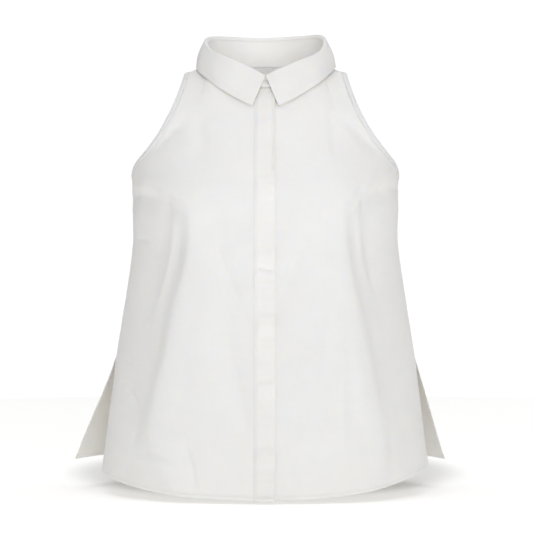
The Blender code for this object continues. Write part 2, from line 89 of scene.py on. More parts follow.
# Level sections of the shirt. Depths are measured forwards and backwards from the shoulder line.
Section = namedtuple("Section", "height half_width front_depth back_depth squareness")
SECTIONS = (
    Section(-0.502, 0.1965, 0.1430, 0.1360, 2.35),
    Section(-0.430, 0.1900, 0.1415, 0.1320, 2.40),
    Section(-0.355, 0.1800, 0.1395, 0.1270, 2.45),
    Section(-0.270, 0.1670, 0.1365, 0.1200, 2.45),
    Section(-0.205, 0.1580, 0.1335, 0.1150, 2.45),
    Section(-0.158, 0.1590, 0.1310, 0.1130, 2.45),
    Section(-0.130, 0.1590, 0.1240, 0.1125, 2.35),
    Section(-0.100, 0.1600, 0.1110, 0.1090, 2.20),
    Section(-0.066, 0.1590, 0.0920, 0.0990, 2.10),
    Section(-0.040, 0.1580, 0.0760, 0.0900, 2.00),
)

ArmholePoint = namedtuple("ArmholePoint", "height half_width")
ARMHOLE = (
    ArmholePoint(-0.130, 0.1590),
    ArmholePoint(-0.118, 0.1530),
    ArmholePoint(-0.105, 0.1412),
    ArmholePoint(-0.091, 0.1295),
    ArmholePoint(-0.077, 0.1202),
    ArmholePoint(-0.063, 0.1124),
)
SHOULDER_CORNER = (0.0955, 0.0, -0.0065)
SHOULDER_ARCH = 0.055
SHOULDER_ARCH_START = 0.35
CHEST_SLOPE_SPAN = 0.07
SHOULDER_STEP_CURVE = 0.8

NECK_HALF_WIDTH = 0.0665
NECK_FRONT_DEPTH = 0.0660
NECK_BACK_DEPTH = 0.0620
NECK_FRONT_HEIGHT = -0.0310
NECK_SIDE_HEIGHT = 0.0050
NECK_BACK_HEIGHT = 0.0080
NECK_CURVE = 1.7
NECK_SHARE_OF_TOP = 12 / 17

FOLD_HALF_WIDTH = 0.0700
FOLD_FRONT_DEPTH = 0.0640
FOLD_BACK_DEPTH = 0.0600
# The height of the fold all round from the front, turning to the wearer's left, in millimetres.
FoldLine = namedtuple("FoldLine", "turn height")
FOLD_LINE = (
    FoldLine(-20, -2.8),
    FoldLine(-10, -9.2),
    FoldLine(0, -15.3),
    FoldLine(10, -9.8),
    FoldLine(20, -4.4),
    FoldLine(34, 3.0),
    FoldLine(50, 9.8),
    FoldLine(62, 15.6),
    FoldLine(74, 22.6),
    FoldLine(88, 32.0),
    FoldLine(102, 39.0),
    FoldLine(118, 42.8),
    FoldLine(140, 43.8),
    FoldLine(180, 42.9),
    FoldLine(220, 42.4),
    FoldLine(245, 40.2),
    FoldLine(260, 37.0),
    FoldLine(272, 32.0),
    FoldLine(286, 23.0),
    FoldLine(298, 17.0),
    FoldLine(312, 11.2),
    FoldLine(326, 4.6),
    FoldLine(340, -2.8),
    FoldLine(350, -9.2),
    FoldLine(360, -15.3),
    FoldLine(370, -9.8),
    FoldLine(380, -4.4),
)
FOLD_ROLL = 0.0036
STAND_END_DROP = 0.0085
STAND_END_ROUND = 0.42
STAND_END_CURVE = 1.5
STAND_END_BOW = 0.0028
STAND_END_BLEND = 0.5
STAND_BOW = 0.0006
STAND_WAVE = 0.0008
STAND_WAVES = 7.0
STAND_WAVE_START = 1.0
STAND_LAYER = CLOTH + 2 * SEAM_GAP
STAND_LIFT_START = 0.75
STAND_LIFT_BLEND = 0.40

LeafEdge = namedtuple("LeafEdge", "turn x y height")
LEAF_EDGE = (
    LeafEdge(0, 0.0150, -0.0850, -0.0525),
    LeafEdge(8, 0.0238, -0.0808, -0.0484),
    LeafEdge(28, 0.0440, -0.0688, -0.0364),
    LeafEdge(50, 0.0632, -0.0532, -0.0222),
    LeafEdge(72, 0.0770, -0.0272, -0.0082),
    LeafEdge(92, 0.0830, 0.0010, 0.0025),
    LeafEdge(132, 0.0640, 0.0480, 0.0035),
    LeafEdge(180, 0.0000, 0.0710, -0.0005),
    LeafEdge(228, -0.0640, 0.0480, 0.0035),
)
LEAF_FRONT_GAP = 0.0010
LEAF_BOW = 0.0022
LEAF_WAVE = 0.0007
LEAF_WAVES = 9.0
LEAF_WAVE_START = 0.6
LEAF_UNEVENNESS = 0.00025
LEAF_EDGE_SINK = 0.00035
LEAF_EDGE_WIDTH = 0.0007
# The roll of the leaf over the stand, from its root: how far out from the fold line and how far up.
RollPoint = namedtuple("RollPoint", "outwards rise")
LEAF_ROLL = (
    RollPoint(-0.0008, 0.0001),
    RollPoint(-0.0008, 0.0018),
    RollPoint(0.0004, 0.0036),
    RollPoint(0.0024, 0.0033),
    RollPoint(0.0036, 0.0010),
)

BUTTON_COUNT = 6
BUTTON_FIRST = -0.078
BUTTON_PITCH = 0.075
BAND_BLEND = 0.022
FLY_LEFT = -0.0132
FLY_RIGHT = 0.0114
FLY_TOP = -0.0314
# How far the fly strip stands off the front: at its stitched edge, down its middle and at its free edge.
FLY_STITCHED_LIFT = 0.0008
FLY_MIDDLE_LIFT = 0.0021
FLY_FREE_LIFT = 0.0019
FLY_RISE_WIDTH = 0.0055
FLY_DROP_START = 0.0062
# It stands further off over each button, up to a half height and fading out beyond it.
FLY_MIDDLE_OVER_BUTTON = 0.0014
FLY_FREE_OVER_BUTTON = 0.0009
FLY_BUTTON_HALF_HEIGHT = 0.0055
FLY_BUTTON_FADE = 0.0070
# Near the top its free edge gapes, between two heights, each with the length that it takes to begin or end.
FLY_GAPE = 0.0026
GapeEnd = namedtuple("GapeEnd", "height length")
FLY_GAPE_FOOT = GapeEnd(-0.139, 0.012)
FLY_GAPE_HEAD = GapeEnd(-0.056, 0.018)

# ---------------------------------------------------------------- creases
# A crease runs along a path of places in millimetres, across and up. Going along the path, left and
# right are how far it spreads to each side, and a rise above 0 makes it a ridge. Its width grows to
# spread times by its end, and start and end are its shares of the rise there.
Crease = namedtuple("Crease", "path left right rise start end spread", defaults=(0.3, 0.3, 1.0))

# The wearer's right half of the fronts.
CREASES_RIGHT = (
    Crease(((-91, -176), (-92, -205), (-98, -241), (-105, -277), (-109, -311)), 5, 7, -0.5, 0.2, 0.1),
    Crease(
        ((-101, -170), (-106, -188), (-114, -211), (-123, -240), (-133, -272), (-142, -298)),
        8, 9, 2.2, 0.1, 0.1, 1.2,
    ),
    Crease(((-112, -180), (-118, -215), (-130, -252), (-145, -292)), 6, 15, -2.4, 0.4, 0.2),
    Crease(((-152, -139), (-141, -142), (-124, -145), (-109, -155)), 15, 7, 2.8, 0.1, 0.9),
    Crease(((-152, -155), (-132, -158), (-114, -167)), 8, 17, -5.2, 0.7, 0.7),
    Crease(((-110, -155), (-106, -158)), 3.5, 3.5, -1.5, 1.0, 1.0),
    Crease(((-149, -206), (-142, -208)), 4, 5, -1.4, 1.0, 0.6),
    Crease(((-138, -216), (-129, -221)), 5, 6, -1.1, 1.0, 0.6),
    Crease(((-57, -198), (-51, -228), (-39, -260), (-27, -286), (-18, -306)), 7, 11, -3.4, 0.2, 0.5, 1.2),
    Crease(((-31, -210), (-23, -228), (-15, -244)), 6, 8, -1.2),
    Crease(((-49, -300), (-38, -345), (-26, -395), (-19, -440)), 7, 14, -3.0, 0.2, 0.3, 1.2),
    Crease(((-77, -58), (-73, -90), (-71, -122)), 7, 12, -1.8),
    Crease(((-89, -64), (-110, -86), (-134, -108)), 7, 7, -1.8),
    Crease(((-100, -80), (-118, -98)), 4, 4, 0.8),
    Crease(((-88, -444), (-82, -467), (-79, -486)), 3, 9, -2.2, 0.5, 0.5),
    Crease(((-145, -459), (-122, -461), (-101, -466)), 3.5, 4, 1.1),
    Crease(((-146, -451), (-120, -452), (-99, -458)), 4, 4, -1.1),
    Crease(((-171, -374), (-160, -389), (-149, -403)), 4, 6, -2.0),
    Crease(((-170, -340), (-163, -352)), 3.5, 4, -1.1),
    Crease(((-118, -418), (-100, -421), (-82, -432)), 5, 5, -0.9),
    Crease(((-112, -384), (-98, -388), (-85, -396)), 6, 8, -1.1),
    Crease(((-150, -420), (-157, -452)), 5, 5, -1.0),
    Crease(((-64, -250), (-70, -330), (-74, -400)), 14, 16, 1.3),
)
# The wearer's left half of the fronts.
CREASES_LEFT = (
    Crease(((93, -174), (96, -192), (99, -217), (104, -247), (111, -296), (118, -346)), 7, 5, -0.5, 0.2, 0.1),
    Crease(((105, -172), (110, -190), (115, -214), (120, -240), (127, -270)), 9, 8, 1.3, 0.1, 0.1),
    Crease(((113, -180), (121, -212), (128, -240), (133, -262)), 14, 6, -2.4, 0.4, 0.2),
    Crease(((150, -124), (132, -132), (117, -143), (105, -153)), 8, 16, 2.4, 0.1, 0.9),
    Crease(((150, -147), (133, -154), (114, -165)), 15, 8, -5.0, 0.6, 0.7),
    Crease(((107, -153), (103, -156)), 3.5, 3.5, -1.3, 1.0, 1.0),
    Crease(((46, -203), (32, -237), (22, -266), (16, -292)), 9, 7, -2.8, 0.2, 0.5),
    Crease(((25, -190), (14, -211)), 5, 5, -1.0),
    Crease(((84, -300), (86, -350), (87, -410), (87, -465)), 7, 16, 1.9, 0.1, 0.3),
    Crease(((97, -315), (104, -360), (112, -405)), 9, 8, 1.8),
    Crease(((76, -54), (79, -85), (80, -117)), 12, 7, -1.8),
    Crease(((89, -65), (112, -88), (134, -109)), 7, 7, -1.8),
    Crease(((152, -200), (139, -222)), 4, 4, -0.9),
    Crease(((128, -236), (134, -262)), 5, 5, -0.9),
    Crease(((142, -425), (148, -474)), 7, 7, -1.4),
    Crease(((112, -452), (122, -470)), 5, 6, -0.9),
    Crease(((56, -330), (50, -400), (46, -455)), 12, 14, 1.2),
    Crease(((34, -410), (27, -462)), 8, 8, -1.1),
)
# The fullness over each bust dart, along a short line, in millimetres.
Fullness = namedtuple("Fullness", "inner outer width rise")
BUST = Fullness((86, -160), (98, -168), 40, 5.0)

# Outside the flat middle each front falls back to its side. In millimetres, at each height: how far
# across it starts to fall, how far it falls and within what distance.
Fall = namedtuple("Fall", "height edge depth reach")
FALL_RIGHT = (
    Fall(-505, 100, 4.0, 45),
    Fall(-460, 120, 5.5, 40),
    Fall(-430, 132, 7.0, 28),
    Fall(-400, 129, 8.5, 22),
    Fall(-369, 122, 9.5, 19),
    Fall(-346, 116, 10.0, 17),
    Fall(-311, 109, 10.5, 16),
    Fall(-277, 103, 10.5, 15),
    Fall(-241, 93, 9.5, 15),
    Fall(-207, 87, 8.0, 14),
    Fall(-180, 86, 5.5, 15),
    Fall(-155, 90, 2.0, 20),
    Fall(-130, 100, 0.0, 20),
)
FALL_LEFT = (
    Fall(-505, 118, 3.5, 40),
    Fall(-460, 134, 5.0, 30),
    Fall(-430, 136, 6.5, 22),
    Fall(-392, 127, 8.0, 18),
    Fall(-346, 118, 9.5, 16),
    Fall(-311, 112, 10.0, 16),
    Fall(-277, 105, 10.0, 15),
    Fall(-241, 97, 9.5, 14),
    Fall(-207, 91, 8.0, 13),
    Fall(-180, 88, 5.5, 14),
    Fall(-155, 92, 2.0, 20),
    Fall(-130, 100, 0.0, 20),
)
FALL_SOFTNESS = 0.005
FALL_FADE = 0.10
# Just inside, the middle stands proud, by BROW millimetres where the fall is FALL_FULL millimetres deep.
BROW = 2.6
BROW_WIDTH = 0.034
FALL_FULL = 10.0
# A crease ends by the side edge, so that the seam stays closed. It is worked out only within CREASE_REACH
# widths of its path, and grows and dies away over shares of its length. Its left and right widths meet
# within CREASE_SIDE_BLEND millimetres.
CREASE_FADE = 0.016
CREASE_REACH = 3.2
CREASE_BEGIN = 0.35
CREASE_FINISH = 0.45
CREASE_SIDE_BLEND = 2
BACK_CREASES = (
    Crease(((-60, -150), (-75, -280), (-95, -455)), 13, 18, -7.5, 0.35, 0.5),
    Crease(((52, -165), (66, -300), (80, -460)), 18, 12, -7.0, 0.35, 0.5),
    Crease(((-12, -210), (-20, -330), (-26, -465)), 14, 16, -5.5, 0.35, 0.5),
    Crease(((-120, -230), (-138, -330), (-158, -450)), 13, 13, 5.5, 0.35, 0.5),
    Crease(((112, -220), (130, -330), (150, -450)), 13, 13, 5.5, 0.35, 0.5),
    Crease(((-88, -70), (-100, -98), (-118, -128)), 9, 9, -3.0),
    Crease(((88, -70), (100, -98), (118, -128)), 9, 9, -3.0),
    Crease(((-44, -260), (-50, -350), (-60, -460)), 8, 10, 2.0, 0.2, 0.6),
    Crease(((28, -240), (34, -340), (36, -455)), 9, 8, 2.2, 0.2, 0.6),
    Crease(((96, -180), (104, -230), (116, -300)), 7, 9, -1.8),
    Crease(((-92, -175), (-104, -240), (-112, -300)), 9, 7, -1.8),
    Crease(((-30, -60), (-34, -110), (-30, -160)), 10, 12, -1.2),
    Crease(((36, -66), (33, -120), (37, -150)), 11, 9, -1.2),
    Crease(((-140, -150), (-118, -168), (-95, -176)), 6, 7, -1.6),
    Crease(((141, -148), (120, -166), (98, -172)), 7, 6, -1.6),
    Crease(((-160, -380), (-148, -396)), 4, 5, -1.4),
    Crease(((162, -365), (150, -384)), 5, 4, -1.3),
    Crease(((5, -380), (9, -460)), 6, 8, -1.6),
    Crease(((112, -410), (104, -455)), 6, 6, -1.3),
    Crease(((-118, -400), (-124, -460)), 6, 6, -1.4),
)

# Short level wrinkles across the fly strip: their height, rise and width, and how much higher they are
# FLY_SLANT_WIDTH to the right, in millimetres.
FlyWrinkle = namedtuple("FlyWrinkle", "height rise width slant")
FLY_WRINKLES = (
    FlyWrinkle(-88, 0.25, 2.5, 0.0),
    FlyWrinkle(-134, -0.45, 1.6, 1.0),
    FlyWrinkle(-139, 0.35, 2.4, 1.0),
    FlyWrinkle(-168, 0.20, 2.0, -1.0),
    FlyWrinkle(-205, -0.25, 2.2, -1.5),
    FlyWrinkle(-226, 0.30, 2.2, 0.5),
    FlyWrinkle(-234, -0.30, 1.8, -1.0),
    FlyWrinkle(-241, -0.75, 1.5, -2.5),
    FlyWrinkle(-246, 0.45, 2.2, -2.0),
    FlyWrinkle(-262, -0.35, 1.8, 0.5),
    FlyWrinkle(-277, 0.30, 2.4, -1.0),
    FlyWrinkle(-288, -0.40, 1.9, -1.5),
    FlyWrinkle(-305, 0.30, 2.2, 1.0),
    FlyWrinkle(-318, -0.45, 1.7, 1.0),
    FlyWrinkle(-331, 0.30, 2.0, -1.0),
    FlyWrinkle(-344, -0.60, 1.6, -1.5),
    FlyWrinkle(-350, 0.40, 2.2, -1.0),
    FlyWrinkle(-366, -0.40, 1.8, 1.5),
    FlyWrinkle(-384, -0.30, 2.2, -1.0),
    FlyWrinkle(-398, 0.30, 2.4, 0.5),
    FlyWrinkle(-415, -0.35, 1.9, -1.0),
    FlyWrinkle(-440, -0.45, 1.8, 1.0),
    FlyWrinkle(-452, 0.35, 2.0, 1.0),
    FlyWrinkle(-468, -0.40, 1.7, -1.5),
    FlyWrinkle(-481, 0.25, 2.0, -1.0),
)
FLY_SLANT_WIDTH = 0.012
FLY_WRINKLE_STRENGTH = 1.8
FLY_WRINKLE_START = 0.004
FLY_WRINKLE_LOSS = 0.6

# Gentle unevenness all over: waves between two lengths, which run across, back and up by these shares.
WAVE_COUNT = 9
WAVE_SHORTEST = 0.022
WAVE_LONGEST = 0.085
WAVE_BACK_SHARE = 0.4
WAVE_UP_SHARE = 0.55

# ---------------------------------------------------------------- sewing
# Puckers leave a seam at a pitch, and each reaches away from it at a slant.
Pucker = namedtuple("Pucker", "pitch reach width slant")
HEM_PUCKERS = Pucker(0.0065, 0.004, 0.0016, 0.5)
SIDE_PUCKERS = Pucker(0.0105, 0.0105, 0.0026, -0.5)
# They are uneven: the least and the greatest share of each measure.
PUCKER_RISES = (0.35, 1.0)
PUCKER_WIDTHS = (0.7, 1.4)
PUCKER_REACHES = (0.5, 1.3)
PUCKER_SLANTS = (0.4, 1.6)
PUCKER_PITCHES = (0.55, 1.5)
HEM_PUCKER_SHARE = 0.35
SLIT_PUCKER_LOSS = 0.7
# A turned hem steps down to the cloth, has a sunk line of stitches and a rounded edge.
STITCH_INSET = 0.0012
HEM_FOOT = 0.0004
HEM_FOOT_WIDTH = 0.0011
HEM_SINK_SHARE = 0.6
HEM_SINK_WIDTH = 0.0005
HEM_ROUND_SHARE = 0.5
HEM_ROUND_WIDTH = 0.0006
SIDE_SEAM_DEPTH = 0.0008
SIDE_SEAM_WIDTH = 0.0011
# The side seam begins below the underarm, and the slit's hem takes over from it at the slit's top.
SEAM_START = 0.002
SEAM_FADE = 0.004
SLIT_START = 0.001
SLIT_FADE = 0.003
# Puckers fade out towards the hem's very edge.
HEM_PUCKER_FADE = 0.001
SIDE_PUCKER_FADE = 0.004
# The binding: its wall, its clearance from the cloth, how far its fold is set out from the edge, and how
# far the open ends of its slot are set in and nipped together.
BINDING_WALL = 0.0007
BINDING_CLEARANCE = 0.0004
BINDING_OUT = 0.0003
BINDING_LIP = 0.0004
BINDING_NIP = 0.0003
# Its face from stitched edge to fold: a share of its width, how far set in from there, and how far out.
FacePoint = namedtuple("FacePoint", "share inset out")
BINDING_FACE = (
    FacePoint(1.0, 0.0, 0.0004),
    FacePoint(1.0, 0.0003, 0.0009),
    FacePoint(0.6, 0.0, 0.0014),
    FacePoint(0.25, 0.0, 0.0013),
)
BINDING_RIPPLE_SHARE = 0.3
BINDING_RIPPLE_WIDTHS = (0.0018, 0.0036)
BINDING_RIPPLE_PITCHES = (0.0045, 0.0105)
# Where the rows of stitches lie, in from the edge of their piece, and how far out on the binding.
BINDING_STITCH_INSET = 0.0010
BINDING_STITCH_OUT = 0.0010
FLY_SIDE_STITCHES = 0.0013
FLY_HEM_STITCHES = 0.0034
STAND_STITCHES = 0.0014
LEAF_STITCHES = 0.0017
BACK_NECK_STITCHES = 0.0042
BACK_NECK_STITCHED_SHARE = 0.85
STITCH_THINNESS = 0.8
STITCH_RISE = 0.12
# What draws each piece's unevenness.
FRONT_SEED = 3
BACK_SEED = 5
LEAF_SEED = 9
FRONT_EDGE_SEED = 20
BACK_EDGE_SEED = 40
BINDING_SEED = 60
SIDE_EDGE_SEED_STEP = 7

# ---------------------------------------------------------------- fineness
FINE = 900
ROW_LENGTH = 0.205
HEM_STEPS = 9
HEM_STEP = 0.0006
LOWER_STEPS = 150
CHEST_STEPS = 30
SHOULDER_STEPS = 24
FRONT_COLUMNS = 100
BACK_COLUMNS = 90
BAND_COLUMNS = 10
PATH_STEPS = 6
COLLAR_COLUMNS = 320
STAND_ROWS = 16
LEAF_FALL_ROWS = 26
LEAF_ROLL_STEPS = 3
# A binding's ring is worked out at all its stations. Its mesh is a torus, which has 256 at most, so it
# takes the first 256 and runs straight over the last stretch, low on the back.
BINDING_STATIONS = 300
BINDING_MESH_STATIONS = 256
BINDING_FOLD_STEPS = 8
BINDING_PASSES = 3
FLY_COLUMNS = 24
NORMAL_PASSES = 4
CLOTH_ANGLE = math.radians(50)
BINDING_ANGLE = math.radians(60)

# ---------------------------------------------------------------- cloth and studio
# How deep light goes into the cloth, where it is single and where it is stiffened.
LIGHT_GOES_THROUGH = {"single": 0.0026, "stiffened": 0.0004}
WEAVE_CRIMP = 0.4
STREAK_STRETCHES = ((900.0, 28.0, 1.0), (28.0, 900.0, 1.0))
WHITE = (1.0, 1.0, 1.0, 1.0)
BACKDROP_STRENGTH = 1.05

# Where each light stands, how wide it is, which strength it takes and what share of it.
StudioLight = namedtuple("StudioLight", "name place size strength share")
STUDIO_LIGHTS = (
    StudioLight("key", (0.25, -3.2, -0.35), 1.8, "key", 1.0),
    StudioLight("top", (0.0, 0.3, 3.2), 4.0, "top", 1.0),
    StudioLight("behind_right", (-2.0, 1.7, 0.1), 1.2, "side", 0.85),
    StudioLight("behind_left", (2.0, 1.7, 0.1), 1.2, "side", 1.0),
)
NECK_FILL_PLACE = (0.0, -0.005, -0.015)
NECK_FILL_SOFTNESS = 0.03
SENSOR_WIDTH = 36.0
FLOOR_RADIUS = 1.6
FLOOR_SIDES = 96
# The floor has a painted glow: to the eye it whitens the floor, and a share of it lights the shirt. In a soft
# oval round the shirt the glow is held lower, which paints a shadow on the floor there.
FLOOR_PAINTED_SHADOW_CENTRE = (0.0, 0.20, 0.0)
FLOOR_PAINTED_SHADOW_SIZE = (0.25, 0.28, 1000.0)
FLOOR_PAINTED_SHADOW_START = 0.85
FLOOR_PAINTED_SHADOW_END = 1.10
FLOOR_PAINTED_SHADOW_SHARE = 0.3
FLOOR_GLOW_AROUND = 0.6


class ShirtSizes(PropertyGroup):
    """Sizes of the sewing that a user would change."""

    shell: FloatProperty(
        name="Cloth", description="Thickness of the shown cloth", default=0.0006, unit="LENGTH"
    )
    collar_shell: FloatProperty(
        name="Collar cloth", description="Thickness of the collar's leaf", default=0.0009, unit="LENGTH"
    )
    hem: FloatProperty(name="Hem", description="Width of the narrow hem", default=0.0046, unit="LENGTH")
    hem_rise: FloatProperty(
        name="Hem rise", description="How far a hem stands proud", default=0.0006, unit="LENGTH"
    )
    binding: FloatProperty(
        name="Binding", description="Width of the armhole binding", default=0.0054, unit="LENGTH"
    )
    crease: FloatProperty(
        name="Creases", description="Strength of the creases", subtype="FACTOR", default=1.35, min=0, max=2
    )
    pucker: FloatProperty(
        name="Puckers", description="Rise of the puckers along seams", default=0.0004, unit="LENGTH"
    )
    unevenness: FloatProperty(
        name="Unevenness", description="Slow waves all over the cloth", default=0.0005, unit="LENGTH"
    )
    stitch: FloatProperty(name="Stitch", description="Length of a stitch", default=0.0021, unit="LENGTH")
    stitch_pitch: FloatProperty(
        name="Stitch pitch", description="From one stitch to the next", default=0.0027, unit="LENGTH"
    )
    thread: FloatProperty(name="Thread", description="Width of the thread", default=0.00034, unit="LENGTH")
    yarn: FloatProperty(
        name="Yarn", description="From one yarn of the weave to the next", default=0.00038, unit="LENGTH"
    )


class ShirtColours(PropertyGroup):
    """Colours of the cotton, the thread, the buttons and the studio."""

    cotton: FloatVectorProperty(
        name="Cotton", description="Colour of the cloth",
        subtype="COLOR", size=3, default=(0.938, 0.902, 0.845), min=0, max=1,
    )
    # The stiffened cloth's colour is a darker copy of the cotton: painted shade that keeps the collar and
    # fly, which the neck fill also lights, at the body's tone.
    facing: FloatVectorProperty(
        name="Stiffened cotton", description="Colour of the collar and the fly",
        subtype="COLOR", size=3, default=(0.822, 0.815, 0.803), min=0, max=1,
    )
    thread: FloatVectorProperty(
        name="Thread", description="Colour of the stitches",
        subtype="COLOR", size=3, default=(0.88, 0.87, 0.845), min=0, max=1,
    )
    button: FloatVectorProperty(
        name="Button", description="Colour of the buttons",
        subtype="COLOR", size=3, default=(0.80, 0.79, 0.76), min=0, max=1,
    )
    floor: FloatVectorProperty(
        name="Floor", description="Colour of the floor",
        subtype="COLOR", size=3, default=(0.80, 0.80, 0.79), min=0, max=1,
    )


class ShirtStudio(PropertyGroup):
    """The camera, the lights and the floor."""

    distance: FloatProperty(
        name="Distance", description="From the camera to the shirt", default=2.2, unit="LENGTH"
    )
    height: FloatProperty(name="Height", description="Height of the camera", default=-0.238, unit="LENGTH")
    aside: FloatProperty(name="Aside", description="Camera to the right", default=0.0012, unit="LENGTH")
    lens: FloatProperty(name="Lens", description="Focal length in millimetres", default=123.8)
    floor_height: FloatProperty(
        name="Floor", description="Height of the floor", default=-0.5045, unit="LENGTH"
    )
    key: FloatProperty(name="Key", description="Strength of the front light in watts", default=68.0)
    top: FloatProperty(name="Top", description="Strength of the overhead light in watts", default=55.0)
    side: FloatProperty(name="Side", description="Strength of each light behind in watts", default=5.5)
    sky: FloatProperty(name="Sky", description="Strength of the light from all round", default=0.34)
    inside: FloatProperty(
        name="Inside", description="Strength of the fill in the neck in watts", default=0.035
    )
    # The floor's glow is painted light: it whitens the floor and lights the shirt a little.
    glow: FloatProperty(name="Glow", description="How much the floor is whitened to the eye", default=0.43)


# ---------------------------------------------------------------- curves and tables
def smooth(value):
    """Eases from 0 to 1 as the value does, and stays level outside."""
    value = np.clip(value, 0.0, 1.0)
    return value * value * (3.0 - 2.0 * value)


def hump(away, width):
    """A rounded ridge: 1 on its line, falling to almost nothing two widths away."""
    return np.exp(-((away / width) ** 2))


def unit(vectors):
    """The vectors at length 1."""
    return vectors / np.maximum(np.linalg.norm(vectors, axis=-1, keepdims=True), TINY)


def bend(t, start, leave, finish, arrive):
    """A smooth curve for t from 0 to 1, from its two ends and the way it leaves and arrives at them."""
    return (
        (2 * t**3 - 3 * t**2 + 1) * start
        + (t**3 - 2 * t**2 + t) * leave
        + (3 * t**2 - 2 * t**3) * finish
        + (t**3 - t**2) * arrive
    )


def read_table(table, column, at, key="height"):
    """A column of a table, read at any value of its key column along a smooth curve."""
    rows = sorted(table, key=lambda row: getattr(row, key))
    keys = np.array([getattr(row, key) for row in rows], float)
    values = np.array([getattr(row, column) for row in rows])
    slopes = np.gradient(values, keys)
    at = np.clip(at, keys[0], keys[-1])
    place = np.clip(np.searchsorted(keys, at) - 1, 0, len(rows) - 2)
    span = keys[place + 1] - keys[place]
    t = (at - keys[place]) / span
    return bend(t, values[place], span * slopes[place], values[place + 1], span * slopes[place + 1])


def smooth_path(places, steps):
    """A smooth curve through places, with a number of steps from each to the next."""
    places = np.asarray(places, float)
    beyond = np.concatenate([2 * places[:1] - places[1:2], places, 2 * places[-1:] - places[-2:-1]])
    slopes = (beyond[2:] - beyond[:-2]) / 2
    t = np.linspace(0.0, 1.0, steps, endpoint=False)[:, None]
    spans = range(len(places) - 1)
    runs = [bend(t, places[i], slopes[i], places[i + 1], slopes[i + 1]) for i in spans]
    return np.concatenate(runs + [places[-1:]])


def lengths(line):
    """How far each point of a line is along it."""
    return np.append(0.0, np.cumsum(np.linalg.norm(np.diff(line, axis=0), axis=-1)))


def at_lengths(line, places, values=None):
    """A line, or values along it, read at lengths along it."""
    values = line if values is None else values
    length = lengths(line)
    return np.stack([np.interp(places, length, values[:, axis]) for axis in range(values.shape[1])], -1)


def read_row(row, x):
    """A row of points, read at places across it."""
    return np.stack([np.interp(x, row[:, 0], row[:, axis]) for axis in range(3)], axis=-1)


def normals_of(points):
    """Unit normals of a grid of points, to the left of the columns' direction as the rows go up."""
    return unit(np.cross(np.gradient(points, axis=1), np.gradient(points, axis=0)))


def evened(ring):
    """A closed ring's values, each evened a little with its neighbours."""
    return (np.roll(ring, 1, axis=0) + 2 * ring + np.roll(ring, -1, axis=0)) / 4


def closed(ring):
    """A ring's values with the first again at the end."""
    return np.concatenate([ring, ring[:1]])


# ---------------------------------------------------------------- the shirt's own surfaces
def level_point(angle, height, side):
    """A point of the level section at a height. Angle 0 is the centre line, and side is -1 for the front."""
    power = 2.0 / read_table(SECTIONS, "squareness", height)
    depth = "front_depth" if side < 0 else "back_depth"
    x = read_table(SECTIONS, "half_width", height) * np.sin(angle) ** power
    y = side * read_table(SECTIONS, depth, height) * np.cos(angle) ** power
    return np.stack([x, y, height + 0 * angle], axis=-1)


def edge_angle(height):
    """Where the armhole edge cuts the level section."""
    width = read_table(SECTIONS, "half_width", height)
    reach = np.clip(read_table(ARMHOLE, "half_width", height) / width, 0.0, 1.0)
    power = 2.0 / read_table(SECTIONS, "squareness", height)
    return np.where(height <= UNDERARM, math.pi / 2, np.arcsin(reach ** (1.0 / power)))


def neckline(turn, side):
    """The neckline from its centre to the shoulder, as turn goes from 0 to a quarter circle."""
    front = side < 0
    depth, height = (NECK_FRONT_DEPTH, NECK_FRONT_HEIGHT) if front else (NECK_BACK_DEPTH, NECK_BACK_HEIGHT)
    x = NECK_HALF_WIDTH * np.sin(turn)
    y = side * depth * np.cos(turn)
    z = NECK_SIDE_HEIGHT + (height - NECK_SIDE_HEIGHT) * np.cos(turn) ** NECK_CURVE
    return np.stack([x, y, z], axis=-1)


def columns_of(side):
    """Where the columns lie: below 0 before the fly's edge on a front, then up to 1 at the side edge."""
    edge = 1 - np.arange(HEM_STEPS + 1)[::-1] * HEM_STEP / ROW_LENGTH
    if side > 0:
        return np.concatenate([np.linspace(0.0, edge[0], BACK_COLUMNS, endpoint=False), edge])
    before = np.linspace(-1.0, 0.0, BAND_COLUMNS, endpoint=False)
    return np.concatenate([before, np.linspace(0.0, edge[0], FRONT_COLUMNS, endpoint=False), edge])


def top_edge(side, share):
    """The top of half a front or back, neckline and then shoulder, and each point's share of the way."""
    start = math.asin(FLY_EDGE_COLUMN / NECK_HALF_WIDTH) if side < 0 else 0.0
    round_neck = np.clip(share / NECK_SHARE_OF_TOP, -1.0, 1.0)
    turn = np.where(share < 0, start * (1 + share), start + (math.pi / 2 - start) * round_neck)
    along = np.clip((share - NECK_SHARE_OF_TOP) / (1 - NECK_SHARE_OF_TOP), 0.0, 1.0)[:, None]
    neck = neckline(turn, side)
    return neck + along * (np.array(SHOULDER_CORNER) - neck), turn / (math.pi / 2)


def spaced(row, side, share):
    """A row's columns, laid by length."""
    length = lengths(row)
    fly = np.interp(FLY_EDGE_COLUMN, row[:, 0], length) if side < 0 else 0.0
    return at_lengths(row, np.where(share < 0, fly * (1 + share), fly + (length[-1] - fly) * share))


def lower_row(up, side, hem_centre, hem_side, share):
    """A row of the front or back below the underarm. Up is 0 at the hem and 1 at the underarm."""
    across = np.linspace(0.0, 1.0, FINE)
    hem = hem_side + (hem_centre - hem_side) * np.cos(across * math.pi / 2) ** HEM_CURVE
    height = hem + (UNDERARM - hem) * up
    points = level_point(across * math.pi / 2, height, side)
    below_slit = np.clip((SLIT_TOP - height) / (SLIT_TOP - BACK_HEM), 0.0, 1.0)
    if side > 0:
        points[:, 0] += BACK_FLARE * below_slit**BACK_FLARE_CURVE * across**BACK_FLARE_SPREAD
        points[:, 1] += BACK_FLARE_DEPTH * below_slit * across**BACK_FLARE_SPREAD
    else:
        points[:, 1] -= FRONT_SLIT_OPENING * below_slit * across**FRONT_SLIT_SPREAD
        points[:, 0] -= 4 * FRONT_SLIT_IN * below_slit * (1 - below_slit) * across**FRONT_SLIT_SPREAD
    return spaced(points, side, share)


